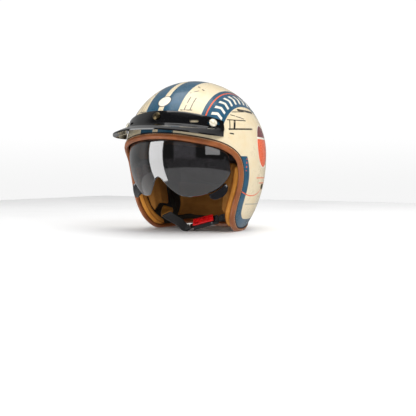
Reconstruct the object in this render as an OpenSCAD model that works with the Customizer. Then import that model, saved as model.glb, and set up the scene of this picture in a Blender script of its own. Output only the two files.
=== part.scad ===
// Open face motorcycle helmet with a flip-down sun visor and a peak held by three snaps.
// It faces -Y with the wearer's left side at +X, and it stands on its edge trim at z = 0.
// Most pieces are layers of one shape: a depth is measured inward from the painted surface.

/* [Shell] */
// Outside width of the shell
shell_width = 245; // [236:1:256]
// Reach of the shell in front of its centre
shell_front = 130.5; // [127:0.5:136]
// Reach of the shell behind its centre
shell_back = 144.5; // [140:0.5:150]
// Height of the crown above the shell's centre
shell_top = 132.5; // [129:0.5:137]
// Depth of the lower curve below the shell's centre
shell_drop = 181.5; // [178:0.5:185]
// Squareness of the shell, where 2 is a plain ellipsoid
shell_power = 2.04; // [2:0.01:2.1]
// Wall thickness of the shell
shell_wall = 3.5; // [3:0.1:3.8]

/* [Edge trim] */
// Width of leather trim that shows beyond the painted surface
trim_width = 9.5; // [9:0.1:10]
// Depth of shell edge held in the trim's groove
trim_grip = 5.5; // [5:0.1:5.8]

/* [Lining] */
// Depth from the painted surface to the back of the impact foam
foam_depth = 33; // [30:0.5:36]
// Depth from the painted surface to the head side of the comfort lining
lining_depth = 40; // [38:0.5:42]
// Depth from the painted surface to the cheek pads' head side
cheek_depth = 47; // [44:0.5:50]

/* [Sun visor] */
// Depth from the painted surface to the lens
lens_depth = 7.3; // [7:0.1:7.6]
// Thickness of the lens
lens_wall = 2; // [1.6:0.1:2.1]
// Depth from the painted surface to the bottom of the visor pocket
pocket_depth = 14; // [13.8:0.1:15]
// Radius of the visor's pivot pins
pivot_radius = 3; // [2.5:0.1:3.2]

/* [Peak] */
// Reach of the peak's front edge from the shell's centre
peak_front = 165; // [155:1:172]
// Half width of the peak across its ends
peak_half_width = 101; // [98:0.5:103]
// Thickness of the peak's plastic
peak_wall = 2.4; // [2:0.1:2.6]

/* [Chin strap] */
// Width of the webbing
webbing_width = 19; // [17:0.5:19.4]
// Thickness of the webbing
webbing_thickness = 1.8; // [1.5:0.1:2.2]

/* [Hidden] */
$fn = 48;

// The trim's rounded nose reaches below the shell's centre by this much, and it is shaved flat there
rest_drop = 135;
// The peak and the back of the shell are the same distance from the origin
centre_y = (peak_front - shell_back) / 2;
half_width = shell_width / 2;

// ---- The shell's surface ----

function unit(v) = v / norm(v);
// Direction from the shell's centre: az turns from the front (-Y) to the left (+X), el is up
function heading(az, el) = [sin(az) * cos(el), -cos(az) * cos(el), sin(el)];
function radii(d) = [half_width, d[1] < 0 ? shell_front : shell_back, d[2] > 0 ? shell_top : shell_drop];
function reach(d) = let (s = radii(d))
    pow(pow(abs(d[0]) / s[0], shell_power) + pow(abs(d[1]) / s[1], shell_power)
        + pow(abs(d[2]) / s[2], shell_power), -1 / shell_power);
function outward(d) = let (s = radii(d), q = reach(d) * d)
    unit([for (k = [0:2]) sign(q[k]) * pow(abs(q[k]) / s[k], shell_power - 1) / s[k]]);
// The point at some depth under the painted surface
function skin(d, depth) = d * (reach(d) - depth / (d * outward(d)));
function blend(a, b, t) = a + (b - a) * t;
function smooth(t) = let (c = min(1, max(0, t))) c * c * (3 - 2 * c);
// Smooth curve through four marks, from b to c
function glide(a, b, c, d, t) =
    b + (c - a) * t / 2 + (2 * a - 5 * b + 4 * c - d) * t * t / 2 + (3 * b - a - 3 * c + d) * t * t * t / 2;
// Direction part of the way along the arc from one direction to another
function swing(a, b, t) = let (w = acos(a * b)) (sin((1 - t) * w) * a + sin(t * w) * b) / sin(w);

// ---- The rim, where the paint meets the trim ----

// Marks from the brow's centre, down the left cheek and round to the nape, as [az, el]
half_rim = [[0, 15], [10, 14.7], [19, 14], [28, 12.8], [38, 11.2], [48, 9.2], [57, 6.3], [64.5, 2.2],
    [70, -3], [73, -10], [74.5, -18], [74.3, -26], [73, -34], [72.8, -41], [75, -47.8], [83, -53.4],
    [94, -56], [110, -55.9], [126, -53], [142, -50.6], [160, -50.4], [180, -51.3]];
brow_rim = [for (i = [0:9]) half_rim[i]];
rim_marks = concat(half_rim, [for (i = [len(half_rim) - 2:-1:1]) [360 - half_rim[i][0], half_rim[i][1]]]);
rim_steps = 2;
rim_count = rim_steps * len(rim_marks);
function mark(i) = let (turn = floor(i / len(rim_marks)))
    rim_marks[i - turn * len(rim_marks)] + [360 * turn, 0];
function rim_angles(j) = let (i = floor(j / rim_steps))
    glide(mark(i - 1), mark(i), mark(i + 1), mark(i + 2), j / rim_steps - i);
rim_dirs = [for (j = [0:rim_count - 1]) let (a = rim_angles(j)) heading(a[0], a[1])];
rim_spots = [for (d = rim_dirs) skin(d, 0)];
rim_out = [for (d = rim_dirs) outward(d)];
// Along the surface, out past the rim towards the opening
rim_past = [for (j = [0:rim_count - 1])
    unit(cross(rim_spots[(j + 1) % rim_count] - rim_spots[(j + rim_count - 1) % rim_count], rim_out[j]))];
function edge_dirs(past) = [for (j = [0:rim_count - 1]) unit(rim_spots[j] + past * rim_past[j])];

// ---- Solids made of rings and domes ----

// Solid through a row of rings; each runs anticlockwise seen from the next ring's side.
// Each end is one flat face, or for a curved sheet a strip between the ring's two halves.
module loft(rings, closed = false, sheet = false) {
    m = len(rings[0]);
    n = len(rings);
    last = closed ? n - 1 : n - 2;
    sides = [for (j = [0:last], k = [0:m - 1])
        let (a = j * m + k, b = j * m + (k + 1) % m, up = ((j + 1) % n - j) * m)
        each [[a, a + up, b + up], [a, b + up, b]]];
    end = sheet ? [for (k = [0:m / 2 - 2]) each [[k, k + 1, m - 2 - k], [k, m - 2 - k, m - 1 - k]]]
        : [[for (k = [0:m - 1]) k]];
    caps = closed ? [] : concat(end,
        [for (f = end) [for (k = [len(f) - 1:-1:0]) (n - 1) * m + f[k]]]);
    polyhedron([for (r = rings) each r], concat(sides, caps), convexity = 8);
}

// Curved sheet from the crown out to an edge, between two depths given as functions of direction
dome_pole = heading(180, 40);
module dome(edge, outer, inner, rows) {
    n = len(edge);
    size = 1 + rows * n;
    dirs = concat([dome_pole], [for (i = [1:rows], e = edge) swing(dome_pole, e, i / rows)]);
    points = concat([for (d = dirs) skin(d, outer(d))], [for (d = dirs) skin(d, inner(d))]);
    top = [for (j = [0:n - 1]) [0, 1 + (j + 1) % n, 1 + j]];
    bands = [for (i = [0:rows - 2], j = [0:n - 1])
        let (a = 1 + i * n + j, b = 1 + i * n + (j + 1) % n)
        each [[a, b, b + n], [a, b + n, a + n]]];
    shell = concat(top, bands);
    under = [for (f = shell) [f[0] + size, f[2] + size, f[1] + size]];
    rim = [for (j = [0:n - 1])
        let (a = size - n + j, b = size - n + (j + 1) % n)
        each [[a, b, b + size], [a, b + size, a + size]]];
    polyhedron(points, concat(shell, under, rim), convexity = 8);
}

// Places children with z along the surface's normal, some way above the paint
module at_skin(az, el, lift = 0) {
    d = heading(az, el);
    n = outward(d);
    translate(skin(d, 0) + lift * n) rotate([0, acos(n[2]), atan2(n[1], n[0])]) children();
}
module place() { translate([0, centre_y, rest_drop]) children(); }
module both_sides() {
    children();
    mirror([1, 0, 0]) children();
}
module ring(outer, inner, height) {
    difference() {
        cylinder(h = height, r = outer);
        translate([0, 0, -1]) cylinder(h = height + 2, r = inner);
    }
}

// ---- Shell and trim ----

snap_hole = 1.9;
rivet_radius = 2.5;
peak_snaps = [[0, 27.4], [45.8, 22.4], [-45.8, 22.4]];
tab_snap = [180, -34.6];
tab_rivet_az = [175.2, 184.8];
tab_rivet_el = -27.6;
anchor = [112, -25];

module outer_shell() color([0.95, 0.89, 0.77]) place() difference() {
    dome(edge_dirs(trim_grip), function(d) 0, function(d) shell_wall, 16);
    for (s = peak_snaps) at_skin(s[0], s[1], -shell_wall - 3) cylinder(h = 10, r = snap_hole);
    at_skin(tab_snap[0], tab_snap[1], -shell_wall - 3) cylinder(h = 10, r = snap_hole);
    for (az = tab_rivet_az) at_skin(az, tab_rivet_el, -shell_wall - 3) cylinder(h = 10, r = snap_hole);
    both_sides() at_skin(anchor[0], anchor[1], -shell_wall - 3) cylinder(h = 10, r = rivet_radius + 0.1);
}

groove_gap = 0.4;
inner_lip = 1.7;
module edge_trim() color([0.69, 0.42, 0.27]) place() {
    w = trim_width;
    g = trim_grip + 0.3;
    low = -shell_wall - groove_gap;
    section = [[0, 0.2], [0.6, 1.5], [2.5, 2], [w - 3, 2.2], [w - 1, 1], [w, -1.6], [w - 1, -4.2],
        [w - 2.6, low - inner_lip], [1.5, low - inner_lip], [1.5, low], [g, low], [g, 0.2]];
    difference() {
        loft([for (j = [0:rim_count - 1])
            [for (p = section) rim_spots[j] + p[0] * rim_past[j] + p[1] * rim_out[j]]], closed = true);
        translate([-150, -150, -rest_drop - 20]) cube([300, 300, 20]);
    }
}

module edge_gasket() color([0.1, 0.1, 0.1]) place() {
    section = [[-1.7, 0.1], [-1.5, 0.8], [-0.8, 1.2], [-0.2, 0.9], [-0.2, 0.1]];
    loft([for (j = [0:rim_count - 1])
        [for (p = section) rim_spots[j] + p[0] * rim_past[j] + p[1] * rim_out[j]]], closed = true);
}

// ---- Impact foam ----

foam_gap = 2.4;
// The foam stands back from the shell at the front, which leaves the pocket that the visor swings in
function foam_back(d) = blend(pocket_depth, shell_wall + foam_gap, smooth((d[1] - 0.15) / 0.3));
// The foam stops short of the rim, further at the nape, where the neck roll turns under it
liner_edge = [for (j = [0:rim_count - 1])
    unit(rim_spots[j] - blend(3, 9, smooth((rim_dirs[j][1] + 0.1) / 0.3)) * rim_past[j])];
// The cheek bays are cut out of the main foam below the ears
bay = [[50, -60, -200], [150, 60, -10]];
module impact_liner() color([0.2, 0.2, 0.21]) place() difference() {
    dome(liner_edge, function(d) foam_back(d), function(d) foam_depth, 12);
    both_sides() translate(bay[0]) cube(bay[1] - bay[0]);
}

// Solid between two depths over a block of directions, widest across its middle rows
module slab(az, el, outer, inner, steps, rows) {
    loft([for (i = [0:steps]) let (a = blend(az[0], az[1], i / steps)) concat(
        [for (k = [rows:-1:0]) skin(heading(a, blend(el[0], el[1], k / rows)), outer)],
        [for (k = [0:rows]) skin(heading(a, blend(el[0], el[1], k / rows)), inner)])]);
}

cheek_foam_out = 8;
cheek_foam_in = 30;
module cheek_foam() slab([79, 101], [-48, -9.5], cheek_foam_out, cheek_foam_in, 6, 8);
module cheek_foam_left() color([0.22, 0.22, 0.23]) place() cheek_foam();
module cheek_foam_right() color([0.22, 0.22, 0.23]) place() mirror([1, 0, 0]) cheek_foam();

// ---- Comfort lining ----

cloth_gap = 0.5;
function crown_edge(az) = 1 + 30 * cos(az);
module crown_liner() color([0.16, 0.1, 0.07]) place()
    dome([for (i = [0:39]) heading(i * 9, crown_edge(i * 9))],
        function(d) foam_depth + cloth_gap, function(d) lining_depth, 8);

// Section of a pad that lines the foam and turns out under the foam's edge
function wrap_ring(az, el, outer, back, inner) = [for (p = [[el[2], back], [el[1], back], [el[1], outer],
    [el[0] + 0.6, outer], [el[0], outer + 3], [el[0], inner - 4], [el[0] + 2.2, inner - 0.5],
    [blend(el[0], el[2], 0.4), inner], [el[2] - 1.5, inner - 1], [el[2], inner - 3]])
    skin(heading(az, p[0]), p[1])];

brow_end = 69;
module brow_pad() color([0.72, 0.47, 0.19]) place() {
    steps = 32;
    loft([for (i = [0:steps])
        let (a = blend(-brow_end, brow_end, i / steps), rim = lookup(abs(a), brow_rim),
            low = rim - 5.5 + 2 * smooth((abs(a) - 55) / 15))
        wrap_ring(a, [low, rim - 0.2, max(rim + 6, crown_edge(a) - 1.5)],
            pocket_depth + 1, foam_depth + cloth_gap, lining_depth + 2)]);
}

module brow_clip() color([0.45, 0.45, 0.46]) place()
    at_skin(12, 8, -lining_depth - 4) rotate([0, 0, 90]) union() {
        translate([-5, -7, 0]) cube([10, 12, 1.4]);
        translate([0, 5, 0]) cylinder(h = 1.4, r = 5);
    }

module neck_roll() color([0.7, 0.45, 0.18]) place() {
    steps = 20;
    loft([for (i = [0:steps])
        let (a = blend(124, 236, i / steps), rim = lookup(min(a, 360 - a), half_rim))
        wrap_ring(a, [rim - 0.3, rim + 2.2, -29], 8.5, foam_depth + cloth_gap, lining_depth + 5)]);
}

// The cheek pad's front part turns out in front of its foam, as far as the padded roll
cheek_front = [69.5, 77.5];
cheek_end = 102;
pad_back = cheek_foam_in + 3;
roll_out = 6.4;
roll_in = 19;
function cheek_ring(az, outer, swell) = let (low = -52.3, high = -8.5, rows = 8) concat(
    [for (k = [rows:-1:0]) skin(heading(az, blend(low, high, k / rows)), outer)],
    [for (k = [0:rows]) let (t = k / rows, crown = pow(sin(180 * blend(0.06, 0.94, t)), 0.5))
        skin(heading(az, blend(low, high, t)), blend(outer + 3, cheek_depth, max(0.1, crown * swell)))]);
module cheek_pad() {
    loft(concat(
        [for (t = [0:0.25:1]) cheek_ring(blend(cheek_front[0], cheek_front[1], t), roll_in + 0.8,
            0.6 + 0.4 * sin(90 * t))],
        [for (t = [0:0.2:1]) cheek_ring(blend(cheek_front[1] + 0.1, cheek_end, t), pad_back,
            1 - 0.5 * pow(t, 3))]));
}
module cheek_pad_left() color([0.74, 0.49, 0.2]) place() cheek_pad();
module cheek_pad_right() color([0.74, 0.49, 0.2]) place() mirror([1, 0, 0]) cheek_pad();

// Padded roll along the inside of the trim, from beside the visor's arm down and round under the cheek
roll_marks = [18, 32];
module cheek_roll() {
    section = [[-5.5, roll_out], [-5.5, roll_in - 3], [-2.5, roll_in], [4, roll_in], [7.5, roll_in - 3],
        [8.6, roll_out + 4], [7, roll_out]];
    middle = [1.5, (roll_out + roll_in) / 2];
    loft([for (j = [roll_marks[0]:roll_marks[1]])
        let (end = min(j - roll_marks[0], roll_marks[1] - j), size = end == 0 ? 0.45 : end == 1 ? 0.85 : 1)
        [for (p = section) let (q = middle + size * (p - middle))
            rim_spots[j] + q[0] * rim_past[j] - q[1] * rim_out[j]]]);
}
module cheek_roll_left() color([0.76, 0.5, 0.22]) place() cheek_roll();
module cheek_roll_right() color([0.76, 0.5, 0.22]) place() mirror([1, 0, 0]) cheek_roll();

pad_snap_spots = [[83, -16], [95, -30], [83, -43]];
module pad_snaps() for (s = pad_snap_spots)
    at_skin(s[0], s[1], -cheek_foam_in - 2.5) cylinder(h = 1.8, r = 5.5);
module pad_snaps_left() color([0.12, 0.12, 0.12]) place() pad_snaps();
module pad_snaps_right() color([0.12, 0.12, 0.12]) place() mirror([1, 0, 0]) pad_snaps();

// ---- Sun visor ----

// The visor turns about the X axis through the shell's centre, so it is a surface turned about X
swing_radius = (shell_front + shell_top) / 2;
function visor_reach(a, depth) =
    pow(pow(abs(sin(a)) / (half_width - depth), shell_power)
        + pow(abs(cos(a)) / (swing_radius - depth), shell_power), -1 / shell_power);
// a turns from straight ahead to the side, tilt turns up about the visor's axis
function visor_spot(a, tilt, depth) = let (r = visor_reach(a, depth))
    [r * sin(a), -r * cos(a) * cos(tilt), r * cos(a) * sin(tilt)];
// Lower edge with the nose notch and the two lobes, and upper edge, as [a, tilt]
lens_low = [[0, -18.5], [3, -20.5], [6, -25], [10, -30.5], [15, -36], [21, -39], [28, -41], [36, -43],
    [43, -43.7], [48, -43.3], [53, -40.5], [58, -36], [61, -30]];
lens_high = [[0, 16], [40, 17], [61, 20]];
lens_end = 61;
// Where the lens is riveted to its arms, as [a, tilt]
arm_rivets = [[56.5, 6], [56.5, -6]];
rivet_shank = 1.2;
// Places children with z along the lens's outward normal
module at_visor(a, tilt) {
    spot = visor_spot(a, tilt, lens_depth);
    side = pow(abs(spot[0]) / (half_width - lens_depth), shell_power - 1) / (half_width - lens_depth);
    front = pow(norm([spot[1], spot[2]]) / (swing_radius - lens_depth), shell_power - 1)
        / (swing_radius - lens_depth);
    n = unit([side, -front * cos(tilt), front * sin(tilt)]);
    translate(spot) rotate([0, acos(n[2]), atan2(n[1], n[0])]) children();
}
module rivet_holes() for (r = arm_rivets) at_visor(r[0], r[1])
    translate([0, 0, -8]) cylinder(h = 12, r = rivet_shank + 0.1);
module sun_visor_lens() color([0.3, 0.3, 0.33]) place() difference() {
    steps = 36;
    rows = 14;
    loft([for (i = [0:steps])
        let (a = blend(-lens_end, lens_end, i / steps),
            low = lookup(abs(a), lens_low), high = lookup(abs(a), lens_high))
        concat([for (k = [rows:-1:0]) visor_spot(a, blend(low, high, k / rows), lens_depth)],
            [for (k = [0:rows]) visor_spot(a, blend(low, high, k / rows), lens_depth + lens_wall)])],
        sheet = true);
    both_sides() rivet_holes();
}

// Finger tab below each corner of the lens
tab_middle = 44;
tab_half = 8;
module visor_tab() {
    steps = 10;
    loft([for (i = [0:steps])
        let (a = blend(tab_middle - tab_half, tab_middle + tab_half, i / steps),
            edge = lookup(a, lens_low), round = sqrt(1 - 0.96 * pow(2 * i / steps - 1, 2)),
            degree = 57.3 / (visor_reach(a, lens_depth) * cos(a)))
        [for (p = [[lens_depth - 0.4, 0.6], [-6 * round + 1, 2 + 6 * round], [-6 * round + 3, 4.4 + 6 * round],
            [lens_depth + lens_wall + 0.4, 3.4]]) visor_spot(a, edge - p[1] * degree, p[0])]]);
}
module visor_tab_left() color([0.16, 0.16, 0.17]) place() visor_tab();
module visor_tab_right() color([0.16, 0.16, 0.17]) place() mirror([1, 0, 0]) visor_tab();

// Arm from the pivot to the side of the lens, turned to the same curve as the lens
arm_depth = lens_depth + lens_wall + 0.6;
arm_wall = 1.8;
arm_half = 11;
// Height of a turned layer over the visor's axis plane, at some distance from that axis
function turned(rho, depth) = (half_width - depth)
    * pow(1 - pow(rho / (swing_radius - depth), shell_power), 1 / shell_power);
module visor_arm() {
    far = 72;
    difference() {
        intersection() {
            rotate([0, 90, 0]) rotate_extrude($fn = 96) polygon(concat(
                [for (r = [0:9:far]) [r, turned(r, arm_depth)]],
                [for (r = [far:-9:0]) [r, turned(r, arm_depth + arm_wall)]]));
            union() {
                rotate([0, 90, 0]) cylinder(h = 200, r = arm_half + 1.5);
                translate([0, -far - 5, -arm_half]) cube([200, far + 5, 2 * arm_half]);
            }
        }
        rotate([0, 90, 0]) cylinder(h = 200, r = pivot_radius + 0.05);
        rivet_holes();
    }
}
module visor_arm_left() color([0.08, 0.08, 0.08]) place() visor_arm();
module visor_arm_right() color([0.08, 0.08, 0.08]) place() mirror([1, 0, 0]) visor_arm();

module visor_rivets() color([0.15, 0.15, 0.15]) place() both_sides() for (r = arm_rivets) at_visor(r[0], r[1]) {
    stack = arm_depth + arm_wall - lens_depth;
    translate([0, 0, 0.1]) cylinder(h = 0.9, r = 2.3);
    translate([0, 0, -stack - 0.5]) cylinder(h = stack + 1, r = rivet_shank);
    translate([0, 0, -stack - 0.9]) cylinder(h = 0.8, r = 2.3);
}

pivot_face = half_width - arm_depth;
module pivot_pin() rotate([0, 90, 0]) difference() {
    union() {
        translate([0, 0, half_width - shell_wall - 2.4]) cylinder(h = 2, r = 9);
        translate([0, 0, pivot_face - arm_wall - 2]) cylinder(h = 8, r = pivot_radius);
    }
    translate([0, 0, pivot_face - arm_wall - 1.2]) ring(pivot_radius + 1, pivot_radius - 0.5, 1);
}
module visor_pivot_left() color([0.75, 0.76, 0.78]) place() pivot_pin();
module visor_pivot_right() color([0.75, 0.76, 0.78]) place() mirror([1, 0, 0]) pivot_pin();
module visor_bushes() color([0.9, 0.9, 0.86]) place() both_sides() rotate([0, 90, 0])
    translate([0, 0, pivot_face + 0.15]) ring(7, pivot_radius + 0.05, 3.3);
module visor_clips() color([0.7, 0.7, 0.72]) place() both_sides() rotate([0, 90, 0])
    translate([0, 0, pivot_face - arm_wall - 1.1]) ring(5.5, pivot_radius - 0.4, 0.8);

// ---- Peak ----

peak_end = 55;
peak_lift = 1.6;
// Top and bottom of the band that hugs the shell
function band_top(az) = 24 + 8 * pow(cos(90 * az / peak_end), 0.8);
function band_foot(az) = 17.5 + 2 * cos(90 * az / peak_end);
// Where the brim springs from the band, which is lower at the side snaps
function brim_bend(az) = band_foot(az) + 0.6 + 2 * cos(90 * az / peak_end);
// Front edge of the brim, drooping towards its ends
brim_power = 2.5;
brim_root = -66;
brim_height = 38;
brim_droop = 10;
function brim_spot(t) = let (c = pow(cos(t), 2 / brim_power), s = pow(abs(sin(t)), 2 / brim_power) * sign(t))
    [peak_half_width * s, brim_root - (peak_front + brim_root) * c,
        brim_height - brim_droop * pow(abs(s), 2.2)];
module peak_body() {
    steps = 40;
    loft([for (i = [0:steps])
        let (t = blend(-88, 88, i / steps), az = t * peak_end / 88,
            top = heading(az, band_top(az)), foot = heading(az, band_foot(az)),
            tip = brim_spot(t), low = skin(foot, -peak_lift), high = skin(top, -peak_lift),
            raise = [0, 0, peak_wall], bend = skin(heading(az, brim_bend(az)), -peak_lift - peak_wall),
            middle = blend(low, tip, 0.5) + [0, 0, 1.5])
        [skin(top, -peak_lift - peak_wall), skin(heading(az, blend(brim_bend(az), band_top(az), 0.5)),
            -peak_lift - peak_wall), bend, blend(bend, tip + raise, 0.5) + [0, 0, 1.5], tip + raise, tip,
            middle, low, skin(heading(az, blend(band_foot(az), band_top(az), 0.5)), -peak_lift), high]]);
}
module slot_cutter(az, el, length, width) at_skin(az, el, -1) rotate([0, 0, 90]) {
    translate([-(length - width) / 2, -width / 2, 0]) cube([length - width, width, 12]);
    for (s = [-1, 1]) translate([s * (length - width) / 2, 0, 0]) cylinder(h = 12, r = width / 2);
}
module peak() color([0.04, 0.04, 0.05]) place() difference() {
    peak_body();
    at_skin(peak_snaps[0][0], peak_snaps[0][1], -1) cylinder(h = 12, r = 3.1);
    both_sides() slot_cutter(46.6, peak_snaps[1][1], 22, 6.4);
    both_sides() slot_cutter(31.2, 23.4, 15, 4.5);
}

// Shank through the shell, with a clenched head inside
module shank(height) {
    translate([0, 0, -shell_wall - 1.2]) cylinder(h = shell_wall + 1.2 + height, r = snap_hole - 0.1);
    translate([0, 0, -shell_wall - 1.9]) cylinder(h = 1.1, r = 4);
}
// Snap cap: a dome on a hollow barrel that grips the stud
cap_base = peak_lift + peak_wall + 0.2;
cap_rise = 2.4;
module snap_cap(radius, base, bore = 2) difference() {
    union() {
        translate([0, 0, base]) cylinder(h = 1, r = radius);
        translate([0, 0, base + 1]) rotate_extrude() polygon(concat([[0, 0]],
            [for (t = [0:15:75]) [radius * cos(t), cap_rise * sin(t)]], [[0, cap_rise]]));
        translate([0, 0, 1.4]) cylinder(h = base - 1.3, r = 2.95);
    }
    translate([0, 0, 1]) cylinder(h = base - 1.3, r = bore);
}
module snap_stud() {
    translate([0, 0, 0.05]) cylinder(h = 1.1, r = 5);
    translate([0, 0, 1]) cylinder(h = 2.4, r = 1.95);
    shank(0.4);
}
module peak_cap_centre() color([0.25, 0.22, 0.17]) place()
    at_skin(peak_snaps[0][0], peak_snaps[0][1]) snap_cap(7.3, cap_base);
module peak_caps_side() color([0.9, 0.89, 0.84]) place()
    for (s = [peak_snaps[1], peak_snaps[2]]) at_skin(s[0], s[1]) snap_cap(6.8, cap_base);
module peak_studs() color([0.7, 0.7, 0.7]) place()
    for (s = peak_snaps) at_skin(s[0], s[1]) snap_stud();

// ---- Goggle strap tab at the back ----

tab_lift = 0.6;
tab_leather = 2.2;
tab_post = 1.6;
// Outline down the tab, as [el, half width]: the riveted base, then the flap that opens
base_rows = [[-26.2, 14], [-26.8, 15], [-28.7, 15]];
flap_rows = [[-29.5, 15], [-33, 15], [-33.9, 13], [-34.6, 11.4], [-36.4, 10.6], [-37.6, 8], [-38.1, 4]];
module leather(rows) loft([for (row = rows)
    let (half = asin(row[1] / norm(skin(heading(180, row[0]), 0)) / cos(row[0]))) concat(
        [for (k = [-3:3]) skin(heading(180 + half * k / 3, row[0]), -tab_lift)],
        [for (k = [3:-1:-3]) skin(heading(180 + half * k / 3, row[0]), -tab_lift - tab_leather)])],
    sheet = true);
module goggle_tab_base() color([0.6, 0.35, 0.16]) place() difference() {
    leather(base_rows);
    for (az = tab_rivet_az) at_skin(az, tab_rivet_el, -1) cylinder(h = 10, r = snap_hole + 0.1);
}
// The leather creases along a line below the rivets, and the flap turns about it
crease = skin(heading(180, -29.3), -tab_lift - tab_leather / 2);
module goggle_tab_flap() color([0.6, 0.35, 0.16]) place() difference() {
    union() {
        leather(flap_rows);
        translate(crease - [14.5, 0, 0]) rotate([0, 90, 0]) cylinder(h = 29, r = tab_leather / 2);
    }
    at_skin(tab_snap[0], tab_snap[1], -1) cylinder(h = 10, r = 3.1);
}
module goggle_tab_cap() color([0.8, 0.76, 0.7]) place()
    at_skin(tab_snap[0], tab_snap[1]) snap_cap(6, tab_lift + tab_leather + 0.5, tab_post + 0.6);
module goggle_tab_stud() color([0.7, 0.7, 0.7]) place() at_skin(tab_snap[0], tab_snap[1]) {
    translate([0, 0, 0.05]) cylinder(h = 0.4, r = 5);
    translate([0, 0, 0.4]) cylinder(h = 2, r = tab_post);
    shank(0.4);
}
module goggle_tab_rivets() color([0.5, 0.4, 0.25]) place()
    for (az = tab_rivet_az) at_skin(az, tab_rivet_el) {
        translate([0, 0, tab_lift + tab_leather + 0.1]) cylinder(h = 0.9, r = 3.2);
        shank(tab_lift + tab_leather + 0.6);
    }

// ---- Chin strap ----

// In the buckle's own frame, x runs along the strap towards the left cheek and z is its outer face
buckle_spot = [33, -22, -118.5];
buckle_turn = [27, -15.7, 24.7];
function turn_x(v, a) = [v[0], v[1] * cos(a) - v[2] * sin(a), v[1] * sin(a) + v[2] * cos(a)];
function turn_y(v, a) = [v[0] * cos(a) + v[2] * sin(a), v[1], v[2] * cos(a) - v[0] * sin(a)];
function turn_z(v, a) = [v[0] * cos(a) - v[1] * sin(a), v[0] * sin(a) + v[1] * cos(a), v[2]];
function buckle_turned(v) = turn_z(turn_y(turn_x(v, buckle_turn[0]), buckle_turn[1]), buckle_turn[2]);
function buckle_at(v) = buckle_spot + buckle_turned(v);
buckle_width = buckle_turned([0, 1, 0]);

// A point under the shell's surface, straight in from it
function under(az, el, depth) = let (d = heading(az, el)) skin(d, 0) - depth * outward(d);
// Each stop on a strap's route: [place, direction across the width]
anchor_stop = [under(anchor[0], anchor[1], 8), [-0.37, 0.93, 0]];
left_route = [anchor_stop, [[97, 43, -76], [-0.3, 0.95, 0]], [[87.5, 37, -98], [-0.3, 0.95, 0.05]],
    [[80, 22, -108.5], [-0.45, 0.85, 0.3]], [[68, 6, -109], [-0.45, 0.8, 0.4]],
    [buckle_at([33, 0, -1.5]), buckle_width], [buckle_at([26, 0, -1.5]), buckle_width]];
right_route = [[[-anchor_stop[0][0], anchor_stop[0][1], anchor_stop[0][2]], [0.37, 0.93, 0]],
    [[-97, 43, -76], [0.3, 0.95, 0]], [[-87.5, 37, -98], [0.3, 0.95, 0.05]],
    [[-79, 21, -107.5], [0.42, 0.85, 0.3]], [[-66, 3, -108.5], [0.38, 0.8, 0.4]],
    [[-49, -14, -111.5], [0.3, 0.8, 0.45]], [[-20, -27.5, -119.5], [-0.15, 0.85, 0.45]],
    [buckle_at([-36, 0, -1.2]), buckle_width], [buckle_at([-28, 0, -1.2]), buckle_width]];
route_steps = 3;
function stop(route, i, k) = route[max(0, min(len(route) - 1, i))][k];
function along(route, k, t) = let (i = min(floor(t), len(route) - 2))
    glide(stop(route, i - 1, k), stop(route, i, k), stop(route, i + 1, k), stop(route, i + 2, k), t - i);
// Rings of a flat strap between two stops of its route
function strap_rings(route, from, to, half, thick) = [for (n = [from * route_steps:to * route_steps])
    let (t = n / route_steps, p = along(route, 0, t),
        ahead = unit(along(route, 0, min(t + 0.05, len(route) - 1)) - along(route, 0, max(t - 0.05, 0))),
        a = along(route, 1, t), across = unit(a - (a * ahead) * ahead), face = cross(ahead, across))
    [for (q = [[-half, -thick], [half, -thick], [half, thick], [-half, thick]]) p + q[0] * across + q[1] * face]];

strap_half = webbing_width / 2;
strap_thick = webbing_thickness / 2;
sleeve_room = 0.3;
sleeve_cloth = 1.6;
bar_x = 22;
bar_z = -1.5;
bar_radius = 1.6;
// The webbing is folded round the buckle's bar
module strap_webbing_left() color([0.06, 0.06, 0.06]) place() {
    loft(strap_rings(left_route, 0, len(left_route) - 1, strap_half, strap_thick));
    at_buckle() translate([bar_x, strap_half, bar_z]) rotate([90, 0, 0])
        ring(bar_radius + 0.2 + webbing_thickness, bar_radius + 0.2, webbing_width);
}
module strap_webbing_right() color([0.06, 0.06, 0.06]) place()
    loft(strap_rings(right_route, 0, len(right_route) - 1, strap_half, strap_thick));
module sleeve(route, from, to) {
    half = strap_half + sleeve_room;
    thick = strap_thick + sleeve_room;
    difference() {
        loft(strap_rings(route, from, to, half + sleeve_cloth, thick + sleeve_cloth));
        loft(strap_rings(route, from - 1 / route_steps, to + 1 / route_steps, half, thick));
    }
}
module strap_sleeve_left() color([0.75, 0.52, 0.25]) place() sleeve(left_route, 2, 4);
module strap_sleeve_right() color([0.75, 0.52, 0.25]) place() sleeve(right_route, 2, 4);

module strap_anchors() color([0.6, 0.6, 0.62]) place() both_sides()
    at_skin(anchor[0], anchor[1], -shell_wall - 2.4) difference() {
        translate([-9, -12, 0]) cube([18, 24, 1.6]);
        translate([0, 0, -1]) cylinder(h = 4, r = rivet_radius + 0.1);
    }
module strap_rivets() color([0.35, 0.33, 0.3]) place() both_sides()
    at_skin(anchor[0], anchor[1]) union() {
        translate([0, 0, 0.1]) cylinder(h = 1.2, r = 5);
        translate([0, 0, -shell_wall - 3]) cylinder(h = shell_wall + 3.5, r = rivet_radius);
    }

// ---- Quick-release buckle ----

module at_buckle() translate(buckle_spot) rotate([0, 0, buckle_turn[2]]) rotate([0, buckle_turn[1], 0])
    rotate([buckle_turn[0], 0, 0]) children();
// A round bar across the strap
module crossbar(x, z, length, radius) translate([x, length / 2, z]) rotate([90, 0, 0])
    cylinder(h = length, r = radius);

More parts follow.
